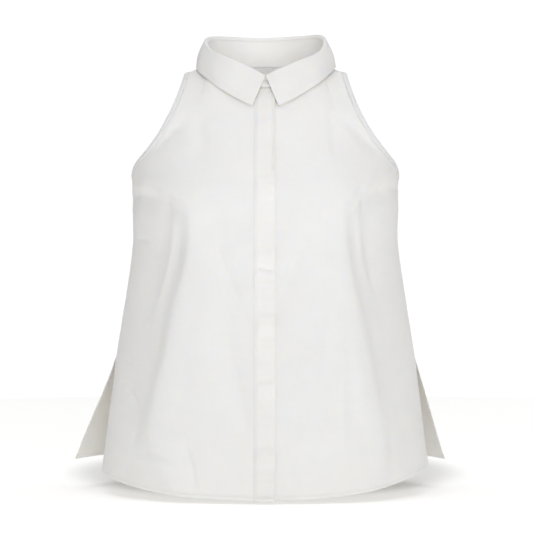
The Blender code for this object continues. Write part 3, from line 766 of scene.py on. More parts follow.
def chest_row(up, side, share):
    """A row beside the armhole. Up is 0 at the underarm and 1 at the chest."""
    height = UNDERARM + (CHEST - UNDERARM) * up
    across = np.linspace(0.0, 1.0, FINE)
    return spaced(level_point(across * edge_angle(height), np.full(FINE, height), side), side, share)


def body_half(side, hem_centre, hem_side):
    """Half of the front or back as rows of points, from the hem up, each from the centre line outwards."""
    share = columns_of(side)
    edge = np.arange(HEM_STEPS) * HEM_STEP / (UNDERARM - hem_centre)
    climb = np.append(edge, np.linspace(edge[-1], 1.0, LOWER_STEPS + 1)[1:])
    rows = [lower_row(up, side, hem_centre, hem_side, share) for up in climb]
    for turn in np.linspace(0.0, math.pi / 2, CHEST_STEPS + 1)[1:]:
        rows.append(chest_row(1.0 - math.cos(turn), side, share))
    chest, below = rows[-1], chest_row(1.0 - CHEST_SLOPE_SPAN, side, share)
    top, round_neck = top_edge(side, share)
    leave = (chest - below) / (chest[0, 2] - below[0, 2]) * (top[:, 2:3] - chest[:, 2:3])
    on_shoulder = smooth((round_neck - SHOULDER_ARCH_START) / (1 - SHOULDER_ARCH_START))[:, None]
    arch = np.array([0.0, -side * SHOULDER_ARCH, 0.0])
    arrive = (top - chest) * (1 - on_shoulder) + arch * on_shoulder
    climb = np.linspace(0.0, 1.0, SHOULDER_STEPS + 1)[1:] ** SHOULDER_STEP_CURVE
    points = np.array(rows + [bend(up, chest, leave, top, arrive) for up in climb])
    points[..., 1] += side * HALF_SEAM
    return points


def crease_shape(points, crease):
    """How far each point moves for a crease, in metres."""
    path = smooth_path(np.array(crease.path) * MM, PATH_STEPS)
    place = points[..., [0, 2]]
    total = np.zeros(place.shape[:-1])
    reach = CREASE_REACH * max(crease.left, crease.right) * max(crease.spread, 1.0) * MM
    near = np.all((place > path.min(axis=0) - reach) & (place < path.max(axis=0) + reach), axis=-1)
    place = place[near]
    if not len(place):
        return total
    run = lengths(path) / lengths(path)[-1]
    start, way = path[:-1], np.diff(path, axis=0)
    off = place[:, None] - start
    share = np.clip((off * way).sum(-1) / (way**2).sum(-1), 0.0, 1.0)
    off = off - share[..., None] * way
    distance = np.linalg.norm(off, axis=-1)
    nearest = distance.argmin(axis=1)
    pick = np.arange(len(place))
    off, distance, way = off[pick, nearest], distance[pick, nearest], way[nearest]
    along = run[nearest] + share[pick, nearest] * np.diff(run)[nearest]
    to_left = (way[:, 0] * off[:, 1] - way[:, 1] * off[:, 0]) / np.linalg.norm(way, axis=-1)
    on_left = smooth(to_left / (CREASE_SIDE_BLEND * MM) + 0.5)
    width = (crease.right + (crease.left - crease.right) * on_left) * MM
    width = width * (1 + (crease.spread - 1) * along)
    begun = crease.start + (1 - crease.start) * smooth(along / CREASE_BEGIN)
    ended = crease.end + (1 - crease.end) * smooth((1 - along) / CREASE_FINISH)
    total[near] = crease.rise * MM * begun * ended * hump(distance, width)
    return total


def bust_shape(points):
    """The fullness over each bust dart."""
    total = np.zeros(points.shape[:-1])
    for sign in (-1, 1):
        start, end = (np.array([sign * x, z]) * MM for x, z in (BUST.inner, BUST.outer))
        way, place = end - start, points[..., [0, 2]] - start
        share = np.clip((place @ way) / (way @ way), 0.0, 1.0)
        distance = np.linalg.norm(place - share[..., None] * way, axis=-1)
        total += BUST.rise * MM * hump(distance, BUST.width * MM)
    return total


def fall_shape(points, away):
    """How far each point falls back outside the flat middle, given how far it is from the side edge."""
    total = np.zeros(away.shape)
    heights = points[..., 2] / MM
    for sign, table in ((-1, FALL_RIGHT), (1, FALL_LEFT)):
        edge, depth, reach = (read_table(table, name, heights) * MM for name in ("edge", "depth", "reach"))
        depth = np.maximum(depth, 0.0)
        inside = sign * points[..., 0] - edge
        beyond = (inside + np.sqrt(inside**2 + FALL_SOFTNESS**2)) / 2
        brow = hump(np.minimum(inside, 0.0), BROW_WIDTH) * hump(beyond, 2 * FALL_SOFTNESS)
        total += BROW * MM * depth / (FALL_FULL * MM) * brow
        total -= depth * (1 - np.exp(-beyond / reach))
    return total * smooth(away / FALL_FADE)


def slow_waves(points, seed):
    """Gentle unevenness, from waves in several directions."""
    draw = np.random.default_rng(seed)
    total = np.zeros(points.shape[:-1])
    for _ in range(WAVE_COUNT):
        length = draw.uniform(WAVE_SHORTEST, WAVE_LONGEST)
        turn, phase = draw.uniform(0.0, math.pi), draw.uniform(0.0, 2 * math.pi)
        way = np.array([math.cos(turn), WAVE_BACK_SHARE * math.sin(turn), WAVE_UP_SHARE * math.sin(turn)])
        total += np.sin(points @ way * (2 * math.pi / length) + phase) * length / WAVE_LONGEST
    return total / math.sqrt(WAVE_COUNT)


def inwards(grid, edge):
    """A grid turned so that each of its rows runs inwards from an edge."""
    grid = grid.swapaxes(0, 1) if edge in ("bottom", "top") else grid
    return grid[:, ::-1] if edge in ("right", "top") else grid


def from_edge(points, edge):
    """How far each point of a grid is from one of its edges, measured along its row or column."""
    rows = inwards(points, edge)
    steps = np.linalg.norm(np.diff(rows, axis=1), axis=-1)
    away = np.concatenate([np.zeros((len(rows), 1)), np.cumsum(steps, axis=1)], axis=1)
    away = away[:, ::-1] if edge in ("right", "top") else away
    return away.swapaxes(0, 1) if edge in ("bottom", "top") else away


def puckers(away, along, seed, kind):
    """Short uneven ripples that leave a seam at a slant and fade away from it."""
    draw = np.random.default_rng(seed)
    total = np.zeros(away.shape)
    here, last = along.min() + kind.pitch / 2, along.max()
    while here < last:
        rise = draw.uniform(*PUCKER_RISES) * draw.choice([-1.0, 1.0, -1.0])
        width = kind.width * draw.uniform(*PUCKER_WIDTHS)
        reach = kind.reach * draw.uniform(*PUCKER_REACHES)
        slant = kind.slant * draw.uniform(*PUCKER_SLANTS)
        total += rise * hump(along - here - slant * away, width) * hump(away, reach)
        here += kind.pitch * draw.uniform(*PUCKER_PITCHES)
    return total


def hem_shape(away, width, rise):
    """A narrow turned hem: proud up to its width, with a sunk line where it is stitched."""
    proud = 1 - smooth((away - width + HEM_FOOT) / HEM_FOOT_WIDTH)
    sunk = HEM_SINK_SHARE * hump(away - width + STITCH_INSET, HEM_SINK_WIDTH)
    rounded = HEM_ROUND_SHARE * hump(away, HEM_ROUND_WIDTH)
    return rise * (proud - sunk - rounded)


def sewn_edges(points, side_edges, seed):
    """What the sewing does to a panel: turned hems, slit edges, side seams and their puckers."""
    sizes = bpy.context.scene.shirt_sizes
    up = from_edge(points, "bottom")
    height = points[..., 2]
    ripple = HEM_PUCKER_SHARE * sizes.pucker * puckers(up, points[..., 0], seed, HEM_PUCKERS)
    total = hem_shape(up, sizes.hem, sizes.hem_rise) + ripple * smooth(up / HEM_PUCKER_FADE)
    for number, edge in enumerate(side_edges):
        away = from_edge(points, edge)
        below_arm = smooth((UNDERARM - SEAM_START - height) / SEAM_FADE)
        in_slit = smooth((SLIT_TOP + SLIT_START - height) / SLIT_FADE)
        seam = -SIDE_SEAM_DEPTH * hump(away, SIDE_SEAM_WIDTH) * below_arm * (1 - in_slit)
        slit = hem_shape(away, sizes.hem, sizes.hem_rise) * in_slit
        ripple = sizes.pucker * puckers(away, height, seed + SIDE_EDGE_SEED_STEP + number, SIDE_PUCKERS)
        total = np.where(in_slit > 0, np.maximum(total, slit), total) + seam
        total += ripple * below_arm * (1 - SLIT_PUCKER_LOSS * in_slit) * smooth(up / SIDE_PUCKER_FADE)
    return total


def mirrored(points):
    """The same points on the other side of the centre, with the columns still going to the viewer's right."""
    flipped = points[:, ::-1].copy()
    flipped[..., 0] *= -1
    return flipped


def moved(points, distance):
    """The points moved out along their normals, which are evened a little from row to row."""
    normals = normals_of(points)
    for _ in range(NORMAL_PASSES):
        normals[1:-1] = (normals[:-2] + 2 * normals[1:-1] + normals[2:]) / 4
    return points + unit(normals) * distance[..., None]


def front_points(sign):
    """A whole front with its band past the centre. Sign is +1 for the wearer's left front."""
    sizes = bpy.context.scene.shirt_sizes
    hem_side, reach = (FRONT_HEM_RIGHT_SIDE, FLY_RIGHT) if sign < 0 else (FRONT_HEM_LEFT_SIDE, -FLY_LEFT)
    half = body_half(-1, FRONT_HEM_CENTRE, hem_side)
    half[:, 0, 0] = 0.0
    places = np.linspace(reach - 2 * SEAM_GAP, 0.0, BAND_COLUMNS, endpoint=False)
    band = np.array([read_row(row, places) for row in half])
    band[..., 0] *= -1
    points = np.concatenate([band, half], axis=1)
    if sign < 0:
        points = mirrored(points)
    away = from_edge(points, SIDE_EDGE[sign])
    shape = sum(crease_shape(points, crease) for crease in CREASES_RIGHT + CREASES_LEFT)
    shape = (shape * smooth(away / CREASE_FADE) + fall_shape(points, away)) * sizes.crease
    shape += bust_shape(points) + slow_waves(points, FRONT_SEED) * sizes.unevenness
    points = moved(points, shape)
    points = moved(points, sewn_edges(points, (SIDE_EDGE[sign],), FRONT_EDGE_SEED + sign))
    if sign < 0:
        points = moved(points, LAYER * smooth(1.0 + (points[..., 0] - FLY_LEFT) / BAND_BLEND))
    return points


def back_points():
    """The whole back, from the wearer's left side to the right."""
    sizes = bpy.context.scene.shirt_sizes
    half = body_half(1, BACK_HEM, BACK_HEM)
    points = np.concatenate([mirrored(half)[:, :-1], half], axis=1)[:, ::-1]
    points[..., 0] += BACK_SWING * smooth((SLIT_TOP - points[..., 2]) / (SLIT_TOP - BACK_HEM))
    shape = sum(crease_shape(points, crease) for crease in BACK_CREASES) * sizes.crease
    points = moved(points, shape + slow_waves(points, BACK_SEED) * sizes.unevenness)
    return moved(points, sewn_edges(points, ("left", "right"), BACK_EDGE_SEED))


def fold_ring(turn):
    """The line where the collar turns over, and the way out from the neck. Turn 0 is the front."""
    depth = np.where(np.cos(turn) > 0, FOLD_FRONT_DEPTH, FOLD_BACK_DEPTH)
    z = read_table(FOLD_LINE, "height", np.degrees(turn), "turn") * MM
    ring = np.stack([FOLD_HALF_WIDTH * np.sin(turn), -depth * np.cos(turn), z], axis=-1)
    return ring, unit(np.stack([np.sin(turn) / FOLD_HALF_WIDTH, -np.cos(turn) / depth, 0 * turn], axis=-1))


def neck_ring(turn):
    """The neckline all round, which the stand is sewn to."""
    quarter = np.arccos(np.abs(np.cos(turn)))
    ring = np.where((np.cos(turn) > 0)[..., None], neckline(quarter, -1), neckline(quarter, 1))
    ring[..., 0] *= np.sign(np.sin(turn))
    return ring


def stand_points():
    """The stand, from the end that lies under at the front, round the neck to the end that lies over."""
    start = math.asin(FLY_LEFT / NECK_HALF_WIDTH)
    finish = 2 * math.pi + math.asin(FLY_RIGHT / NECK_HALF_WIDTH)
    turn = np.linspace(start, finish, COLLAR_COLUMNS)
    base, (top, out) = neck_ring(turn), fold_ring(turn)
    top[:, 2] -= FOLD_ROLL
    end = np.minimum(turn - start, finish - turn)
    round_off = np.clip(1.0 - end / STAND_END_ROUND, 0.0, 1.0) ** STAND_END_CURVE
    base[:, 2] += HALF_SEAM
    top += (base - top) * (STAND_END_DROP * round_off / (top[:, 2] - base[:, 2]))[:, None]
    over = smooth((turn - (2 * math.pi - STAND_LIFT_START)) / STAND_LIFT_BLEND)
    lift = out * (STAND_LAYER * over)[:, None]
    past_end = smooth(end / STAND_END_BLEND)
    wave = STAND_WAVE * np.sin(turn * STAND_WAVES + STAND_WAVE_START)
    bow = wave * past_end + STAND_BOW + STAND_END_BOW * (1 - past_end)
    rows = []
    for up in np.linspace(0.0, 1.0, STAND_ROWS + 1):
        rows.append(base + (top - base) * up + lift + out * (bow * math.sin(up * math.pi))[:, None])
    return np.array(rows)


def leaf_points():
    """The leaf, from its root on the stand, over the roll and down to its outer edge."""
    turn = np.linspace(0.0, 2 * math.pi, COLLAR_COLUMNS + 1)
    fold, out = fold_ring(turn)
    fold[:, 2] -= FOLD_ROLL
    fold[0, 0], fold[-1, 0] = LEAF_FRONT_GAP, -LEAF_FRONT_GAP
    from_front = np.minimum(turn, 2 * math.pi - turn)
    columns = [read_table(LEAF_EDGE, name, np.degrees(from_front), "turn") for name in ("x", "y", "height")]
    edge = np.stack(columns, axis=-1)
    edge[turn > math.pi, 0] *= -1
    wave = LEAF_WAVE * np.sin(turn * LEAF_WAVES + LEAF_WAVE_START)
    edge += out * (wave * smooth(from_front))[:, None]
    up = np.array([0.0, 0.0, 1.0])
    rows = [fold + out * outwards + up * rise for outwards, rise in smooth_path(LEAF_ROLL, LEAF_ROLL_STEPS)]
    start = rows[-1]
    for share in np.linspace(0.0, 1.0, LEAF_FALL_ROWS + 1)[1:]:
        rows.append(start + (edge - start) * share + out * (LEAF_BOW * math.sin(share * math.pi)))
    points = np.array(rows)
    shape = slow_waves(points, LEAF_SEED) * LEAF_UNEVENNESS
    return moved(points, shape - LEAF_EDGE_SINK * hump(from_edge(points, "top"), LEAF_EDGE_WIDTH))


def on_front(front, x):
    """The line down a front at a place across it, as points."""
    return np.array([read_row(row, x) for row in front])


def fly_points(front):
    """The fly strip, made from the right front's centre points and moved out to clear the buttons."""
    front = front[on_front(front, 0.0)[:, 2] < FLY_TOP]
    heights = on_front(front, 0.0)[:, 2]
    by_button = np.zeros(len(heights))
    for index in range(BUTTON_COUNT):
        away = np.abs(heights - (BUTTON_FIRST - index * BUTTON_PITCH))
        by_button = np.maximum(by_button, 1 - smooth((away - FLY_BUTTON_HALF_HEIGHT) / FLY_BUTTON_FADE))
    foot, head = (smooth((heights - end.height) / end.length) for end in (FLY_GAPE_FOOT, FLY_GAPE_HEAD))
    middle = FLY_MIDDLE_LIFT + FLY_MIDDLE_OVER_BUTTON * by_button
    free = FLY_FREE_LIFT + FLY_FREE_OVER_BUTTON * by_button + FLY_GAPE * foot * (1 - head)
    lines = []
    for x in np.linspace(FLY_LEFT, FLY_RIGHT, FLY_COLUMNS + 1):
        line = on_front(front, x)
        out = unit(np.cross(np.array([1.0, 0.0, 0.0]), np.gradient(line, axis=0)))
        rising = smooth((x - FLY_LEFT) / FLY_RISE_WIDTH)
        falling = smooth((x - FLY_DROP_START) / (FLY_RIGHT - FLY_DROP_START))
        lift = FLY_STITCHED_LIFT + (middle - FLY_STITCHED_LIFT) * rising + (free - middle) * falling
        ends = smooth((x - FLY_LEFT) / FLY_WRINKLE_START) * (1 - FLY_WRINKLE_LOSS * falling)
        for wrinkle in FLY_WRINKLES:
            height = (wrinkle.height + wrinkle.slant * x / FLY_SLANT_WIDTH) * MM
            rise = FLY_WRINKLE_STRENGTH * wrinkle.rise * MM * ends
            lift = lift + rise * hump(heights - height, wrinkle.width * MM)
        lines.append(line + out * lift[:, None])
    return np.array(lines).swapaxes(0, 1)


def binding_ring(sign, front, back):
    """Round an armhole: places on its edge, the way out of the cloth and the way into it."""
    front_at, back_at = (-1, 0) if sign > 0 else (0, -1)
    start = HEM_STEPS + LOWER_STEPS
    up, down = front[start:, front_at], back[start:, back_at][::-1]
    up_out, down_out = normals_of(front)[start:, front_at], normals_of(back)[start:, back_at][::-1]
    shoulder, underarm = (up[-1:] + down[:1]) / 2, (up[:1] + down[-1:]) / 2
    shoulder_out, underarm_out = up_out[-1:] + down_out[:1], up_out[:1] + down_out[-1:]
    places = closed(np.concatenate([underarm, up[1:-1], shoulder, down[1:-1]]))
    out = closed(np.concatenate([underarm_out, up_out[1:-1], shoulder_out, down_out[1:-1]]))
    stations = np.linspace(0.0, lengths(places)[-1], BINDING_STATIONS, endpoint=False)
    places, out = at_lengths(places, stations), at_lengths(places, stations, out)
    for _ in range(BINDING_PASSES):
        places, out = evened(places), evened(out)
    out = unit(out)
    along = np.roll(places, -1, axis=0) - np.roll(places, 1, axis=0)
    return places, out, unit(np.cross(out, along) * sign)


def binding_profile():
    """The binding's section, from the edge it folds over: how far into the cloth and how far out."""
    sizes = bpy.context.scene.shirt_sizes
    leg, middle = sizes.binding, -sizes.shell / 2
    inner = sizes.shell / 2 + BINDING_CLEARANCE
    turn = np.linspace(math.pi / 2, 3 * math.pi / 2, BINDING_FOLD_STEPS)

    def fold(radius, turns):
        return [(radius * math.cos(a) - BINDING_OUT, middle + radius * math.sin(a)) for a in turns]

    face = [(leg * point.share - point.inset, middle + point.out) for point in BINDING_FACE]
    rear = [(into, 2 * middle - out) for into, out in face[::-1]]
    lips = [(leg - BINDING_LIP, middle + side * (inner - BINDING_NIP)) for side in (-1, 1)]
    return face + fold(inner + BINDING_WALL, turn) + rear + lips[:1] + fold(inner, turn[::-1]) + lips[1:]


# ---------------------------------------------------------------- making pieces
def deselect():
    """Deselects everything, so that an operator acts on the new piece alone."""
    bpy.ops.object.select_all(action="DESELECT")


def finish_piece(piece, material, *nodes):
    """Gives a piece its material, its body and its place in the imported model."""
    piece.data.materials.clear()
    piece.data.materials.append(material)
    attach(piece, "root")
    if nodes:
        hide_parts(*nodes)


def lay_mesh(piece, name, points, flat):
    """Lays a piece's mesh through a grid of points, with its map in metres."""
    piece.name = piece.data.name = name
    mesh = piece.data
    count = points.size // 3
    if len(mesh.vertices) != count:
        raise RuntimeError("%s: the mesh has %d points, not %d" % (name, len(mesh.vertices), count))
    mesh.vertices.foreach_set("co", points.reshape(-1).astype(np.float32))
    corners = np.empty(len(mesh.loops), np.int32)
    mesh.loops.foreach_get("vertex_index", corners)
    mesh.uv_layers.active.data.foreach_set("uv", flat.reshape(-1, 2)[corners].reshape(-1).astype(np.float32))
    mesh.update()


def face_outwards(mesh):
    """Turns a closed mesh's faces outwards, where they point in."""
    made = bmesh.new()
    made.from_mesh(mesh)
    if made.calc_volume(signed=True) < 0:
        bmesh.ops.reverse_faces(made, faces=made.faces)
    made.to_mesh(mesh)
    made.free()


def cloth_sheet(node, points, thickness, layers="single"):
    """A thin cloth shell in place of a node: a grid laid through the points and thickened inwards."""
    rows, columns = points.shape[:2]
    deselect()
    bpy.ops.mesh.primitive_grid_add(x_subdivisions=columns - 1, y_subdivisions=rows - 1, size=1.0)
    piece = bpy.context.object
    across = from_edge(points, "left")
    across = across - across[:, columns // 2][:, None]
    upwards = np.broadcast_to(from_edge(points, "bottom").mean(axis=1)[:, None], across.shape)
    lay_mesh(piece, node + "_cloth", points, np.stack([across, upwards], axis=-1))
    wall = piece.modifiers.new("wall", "SOLIDIFY")
    wall.thickness = thickness
    wall.offset = -1.0
    wall.use_quality_normals = True
    bpy.ops.object.modifier_apply(modifier=wall.name)
    bpy.ops.object.shade_smooth_by_angle(angle=CLOTH_ANGLE)
    finish_piece(piece, cotton(layers), node)
    declare_sheet(points)


def declare_sheet(points):
    """Works out the cut's greatest width and length, which nothing uses."""
    width = from_edge(points, "left")[:, -1].max()
    length = from_edge(points, "bottom")[-1].max()


def make_binding(node, sign, ring):
    """A strip folded over an armhole edge, laid round it as a ring, with uneven puckers."""
    places, out, into = ring
    profile = binding_profile()
    deselect()
    bpy.ops.mesh.primitive_torus_add(major_segments=BINDING_MESH_STATIONS, minor_segments=len(profile))
    piece = bpy.context.object
    stations = lengths(closed(places))
    draw = np.random.default_rng(BINDING_SEED + sign)
    ripple = np.zeros(len(places))
    here = 0.0
    while here < stations[-1]:
        rise = draw.uniform(-1.0, 1.0)
        ripple += rise * hump(stations[:-1] - here, draw.uniform(*BINDING_RIPPLE_WIDTHS))
        here += draw.uniform(*BINDING_RIPPLE_PITCHES)
    sizes = bpy.context.scene.shirt_sizes
    round_section = lengths(np.array(profile))
    points, flat = [], []
    for (inner, height), round_here in zip(profile, round_section):
        share = BINDING_RIPPLE_SHARE * max(inner, 0.0) / sizes.binding
        points.append(places + into * inner + out * (height + share * sizes.pucker * ripple)[:, None])
        flat.append(np.stack([stations[:-1], np.full(len(places), round_here)], axis=-1))
    points, flat = (np.stack(value, axis=1)[:BINDING_MESH_STATIONS] for value in (points, flat))
    lay_mesh(piece, node + "_cloth", points, flat)
    face_outwards(piece.data)
    bpy.ops.object.shade_smooth_by_angle(angle=BINDING_ANGLE)
    finish_piece(piece, cotton(), node)


def inset_line(points, edge, distance):
    """A line on a grid at a distance from one of its edges, with the way out of the cloth."""
    rows, normals = inwards(points, edge), inwards(normals_of(points), edge)
    line = [at_lengths(row, distance) for row in rows]
    out = [at_lengths(row, distance, normal) for row, normal in zip(rows, normals)]
    return np.array(line), np.array(out)


def slit_line(points, edge, distance):
    """The part of an inset line that runs beside a side slit."""
    line, out = inset_line(points, edge, distance)
    below = line[:, 2] < SLIT_TOP
    return line[below], out[below]


def make_stitches(part, lines):
    """Lines of small thread stitches, each a rounded bar half sunk in the cloth, as one piece."""
    sizes = bpy.context.scene.shirt_sizes
    deselect()
    bpy.ops.mesh.primitive_uv_sphere_add(segments=6, ring_count=4, radius=0.5)
    pattern = bpy.context.object
    bar = np.array([vertex.co for vertex in pattern.data.vertices])[:, [2, 0, 1]]
    bar = bar * np.array([sizes.stitch, sizes.thread, sizes.thread * STITCH_THINNESS])
    faces = [list(face.vertices) for face in pattern.data.polygons]
    bpy.data.objects.remove(pattern)
    spots, ways, outs = [], [], []
    for line, out in lines:
        places = np.arange(sizes.stitch_pitch / 2, lengths(line)[-1], sizes.stitch_pitch)
        quarter = sizes.stitch / 4
        spots.append(at_lengths(line, places))
        ways.append(at_lengths(line, places + quarter) - at_lengths(line, places - quarter))
        outs.append(at_lengths(line, places, out))
    spots, ways, outs = (np.concatenate(value) for value in (spots, ways, outs))
    outs = unit(outs)
    ways = unit(ways - outs * (ways * outs).sum(-1, keepdims=True))
    spots = spots + outs * sizes.thread * STITCH_RISE
    points = spots[:, None]
    for number, way in enumerate((ways, np.cross(outs, ways), outs)):
        points = points + way[:, None] * bar[:, number, None]
    count = len(bar)
    corners = [[corner + count * index for corner in face] for index in range(len(spots)) for face in faces]
    mesh = bpy.data.meshes.new(part + "_stitching")
    mesh.from_pydata(points.reshape(-1, 3).tolist(), [], corners)
    mesh.update()
    face_outwards(mesh)
    mesh.shade_smooth()
    piece = bpy.data.objects.new(mesh.name, mesh)
    bpy.context.scene.collection.objects.link(piece)
    finish_piece(piece, thread())


# ---------------------------------------------------------------- materials
def fill_inputs(tree, node, inputs):
    """Sets a node's inputs to values, or links them from other nodes' sockets."""
    for name, value in inputs.items():
        if isinstance(value, bpy.types.NodeSocket):
            tree.links.new(value, node.inputs[name])
        else:
            node.inputs[name].default_value = value


def add_node(tree, kind, place, inputs=None, **settings):
    """A node at its place in the tree, with its settings and its inputs."""
    node = tree.nodes.new(kind)
    node.location = place
    for name, value in settings.items():
        setattr(node, name, value)
    fill_inputs(tree, node, inputs or {})
    return node


def new_material(name, finish):
    """A material, its node tree and its shader, with the shader's own values."""
    material = bpy.data.materials.new(name)
    material.use_nodes = True
    shader = material.node_tree.nodes["Principled BSDF"]
    fill_inputs(material.node_tree, shader, finish)
    return material, material.node_tree, shader


def tint(tree, shader, colour, shade):
    """Feeds the shader a colour, made lighter or darker by a shade that changes over the surface."""
    inputs = {0: colour, "Scale": shade}
    scaled = add_node(tree, "ShaderNodeVectorMath", (-300, 100), inputs, operation="SCALE")
    fill_inputs(tree, shader, {"Base Color": scaled.outputs[0]})


def weave_group():
    """A plain weave on a map in metres: the yarns' height, and slow streaks where yarns are thick or thin."""
    group = bpy.data.node_groups.get("plain_weave")
    if group:
        return group
    group = bpy.data.node_groups.new("plain_weave", "ShaderNodeTree")
    group.interface.new_socket("Vector", in_out="INPUT", socket_type="NodeSocketVector")
    pitch = group.interface.new_socket("Yarn", in_out="INPUT", socket_type="NodeSocketFloat")
    pitch.default_value = 0.0004
    group.interface.new_socket("Height", in_out="OUTPUT", socket_type="NodeSocketFloat")
    group.interface.new_socket("Streaks", in_out="OUTPUT", socket_type="NodeSocketFloat")
    start = add_node(group, "NodeGroupInput", (-1200, 0))
    split = add_node(group, "ShaderNodeSeparateXYZ", (-1000, 0), {0: start.outputs["Vector"]})

    def maths(operation, place, *values):
        inputs = dict(enumerate(values))
        return add_node(group, "ShaderNodeMath", place, inputs, operation=operation).outputs[0]

    yarns = []
    for row, axis in enumerate("XY"):
        count = maths("DIVIDE", (-800, -300 * row), split.outputs[axis], start.outputs["Yarn"])
        yarns.append(maths("MULTIPLY", (-650, -300 * row), count, math.pi))
    heights = []
    for row, (own, other) in enumerate((yarns, yarns[::-1])):
        rounded = maths("ABSOLUTE", (-350, -300 * row), maths("SINE", (-500, -300 * row), own))
        parity = maths("FLOOR", (-350, -400 * row), maths("DIVIDE", (-500, -400 * row), own, math.pi))
        shifted = maths("ADD", (-350, -500 * row), other, math.pi * row)
        phase = maths("MULTIPLY_ADD", (-200, -300 * row), parity, math.pi, shifted)
        wave = maths("SINE", (-50, -300 * row), phase)
        crimp = maths("MULTIPLY_ADD", (100, -300 * row), wave, WEAVE_CRIMP, 1 - WEAVE_CRIMP)
        heights.append(maths("MULTIPLY", (250, -300 * row), rounded, crimp))
    streaks = []
    for row, stretch in enumerate(STREAK_STRETCHES):
        below = -800 - 300 * row
        inputs = {"Vector": start.outputs["Vector"], "Scale": stretch}
        scaled = add_node(group, "ShaderNodeMapping", (-800, below), inputs, vector_type="POINT")
        inputs = {"Vector": scaled.outputs[0], "Scale": 1.0, "Detail": 2.0}
        streaks.append(add_node(group, "ShaderNodeTexNoise", (-600, below), inputs).outputs["Fac"])
    add_node(group, "NodeGroupOutput", (800, 0), {
        "Height": maths("MAXIMUM", (450, 0), *heights), "Streaks": maths("ADD", (-300, -900), *streaks),
    })
    return group


def cotton_material(name, colour, yarn, through):
    """White plain-woven cotton: matt, with a soft sheen, uneven yarns and faint crumpling.

    Through is how deep light goes into it, in metres.
    """
    material, tree, shader = new_material(name, {
        "Roughness": 0.88,
        "Specular IOR Level": 0.25,
        "Sheen Weight": 0.10,
        "Sheen Roughness": 0.45,
        "Subsurface Weight": 0.8,
        "Subsurface Radius": (1.0, 0.9, 0.7),
        "Subsurface Scale": through,
    })
    place = add_node(tree, "ShaderNodeTexCoord", (-1300, 0))
    weave = add_node(tree, "ShaderNodeGroup", (-1050, 0), node_tree=weave_group())
    fill_inputs(tree, weave, {"Yarn": yarn, "Vector": place.outputs["UV"]})
    blotch = add_node(tree, "ShaderNodeTexNoise", (-1050, -300), {
        "Scale": 22.0, "Detail": 3.0, "Vector": place.outputs["Object"],
    })
    streak = add_node(tree, "ShaderNodeMapRange", (-800, 100), {
        "From Min": 0.6, "From Max": 1.4, "To Min": 0.985, "To Max": 1.008, "Value": weave.outputs["Streaks"],
    })
    soft = add_node(tree, "ShaderNodeMapRange", (-800, -200), {
        "From Min": 0.35, "From Max": 0.65, "To Min": 0.985, "To Max": 1.01, "Value": blotch.outputs["Fac"],
    })
    inputs = {0: streak.outputs[0], 1: soft.outputs[0]}
    both = add_node(tree, "ShaderNodeMath", (-600, 0), inputs, operation="MULTIPLY")
    tint(tree, shader, colour, both.outputs[0])
    yarns = add_node(tree, "ShaderNodeBump", (-400, -300), {
        "Strength": 0.12, "Distance": yarn * 0.35, "Height": weave.outputs["Height"],
    })
    crumple = add_node(tree, "ShaderNodeTexNoise", (-1050, -600), {
        "Scale": 95.0, "Detail": 4.0, "Roughness": 0.55, "Vector": place.outputs["Object"],
    })
    wrinkled = add_node(tree, "ShaderNodeBump", (-200, -300), {
        "Strength": 0.30, "Distance": 0.0009, "Height": crumple.outputs["Fac"], "Normal": yarns.outputs[0],
    })
    fill_inputs(tree, shader, {"Normal": wrinkled.outputs[0]})
    return material


def thread_material(colour):
    """Sewing thread: close to the cotton's colour, with its twist as fine slanted ribs and painted shade in
    the grooves between them.
    """
    material, tree, shader = new_material("sewing_thread", {"Roughness": 0.6})
    place = add_node(tree, "ShaderNodeTexCoord", (-900, 0))
    inputs = {"Scale": 900.0, "Vector": place.outputs["Object"]}
    twist = add_node(
        tree, "ShaderNodeTexWave", (-700, 0), inputs, wave_type="BANDS", bands_direction="DIAGONAL"
    ).outputs["Fac"]
    # Darker where the twist is low: painted shade in its grooves.
    shade = add_node(tree, "ShaderNodeMapRange", (-500, 100), {"To Min": 0.94, "To Max": 1.0, "Value": twist})
    tint(tree, shader, colour, shade.outputs[0])
    ribs = add_node(tree, "ShaderNodeBump", (-300, -200), {"Distance": 0.0001, "Height": twist})
    fill_inputs(tree, shader, {"Normal": ribs.outputs[0]})
    return material


def button_material(colour):
    """Polished white shirt buttons with a faint cloudy grain."""
    material, tree, shader = new_material("button_shell", {"Roughness": 0.28, "Coat Weight": 0.3})
    place = add_node(tree, "ShaderNodeTexCoord", (-900, 0))
    cloud = add_node(tree, "ShaderNodeTexNoise", (-700, 0), {
        "Scale": 260.0, "Distortion": 1.2, "Vector": place.outputs["Object"],
    })
    shade = add_node(tree, "ShaderNodeMapRange", (-500, 100), {
        "To Min": 0.93, "To Max": 1.04, "Value": cloud.outputs["Fac"],
    })
    tint(tree, shader, colour, shade.outputs[0])
    return material


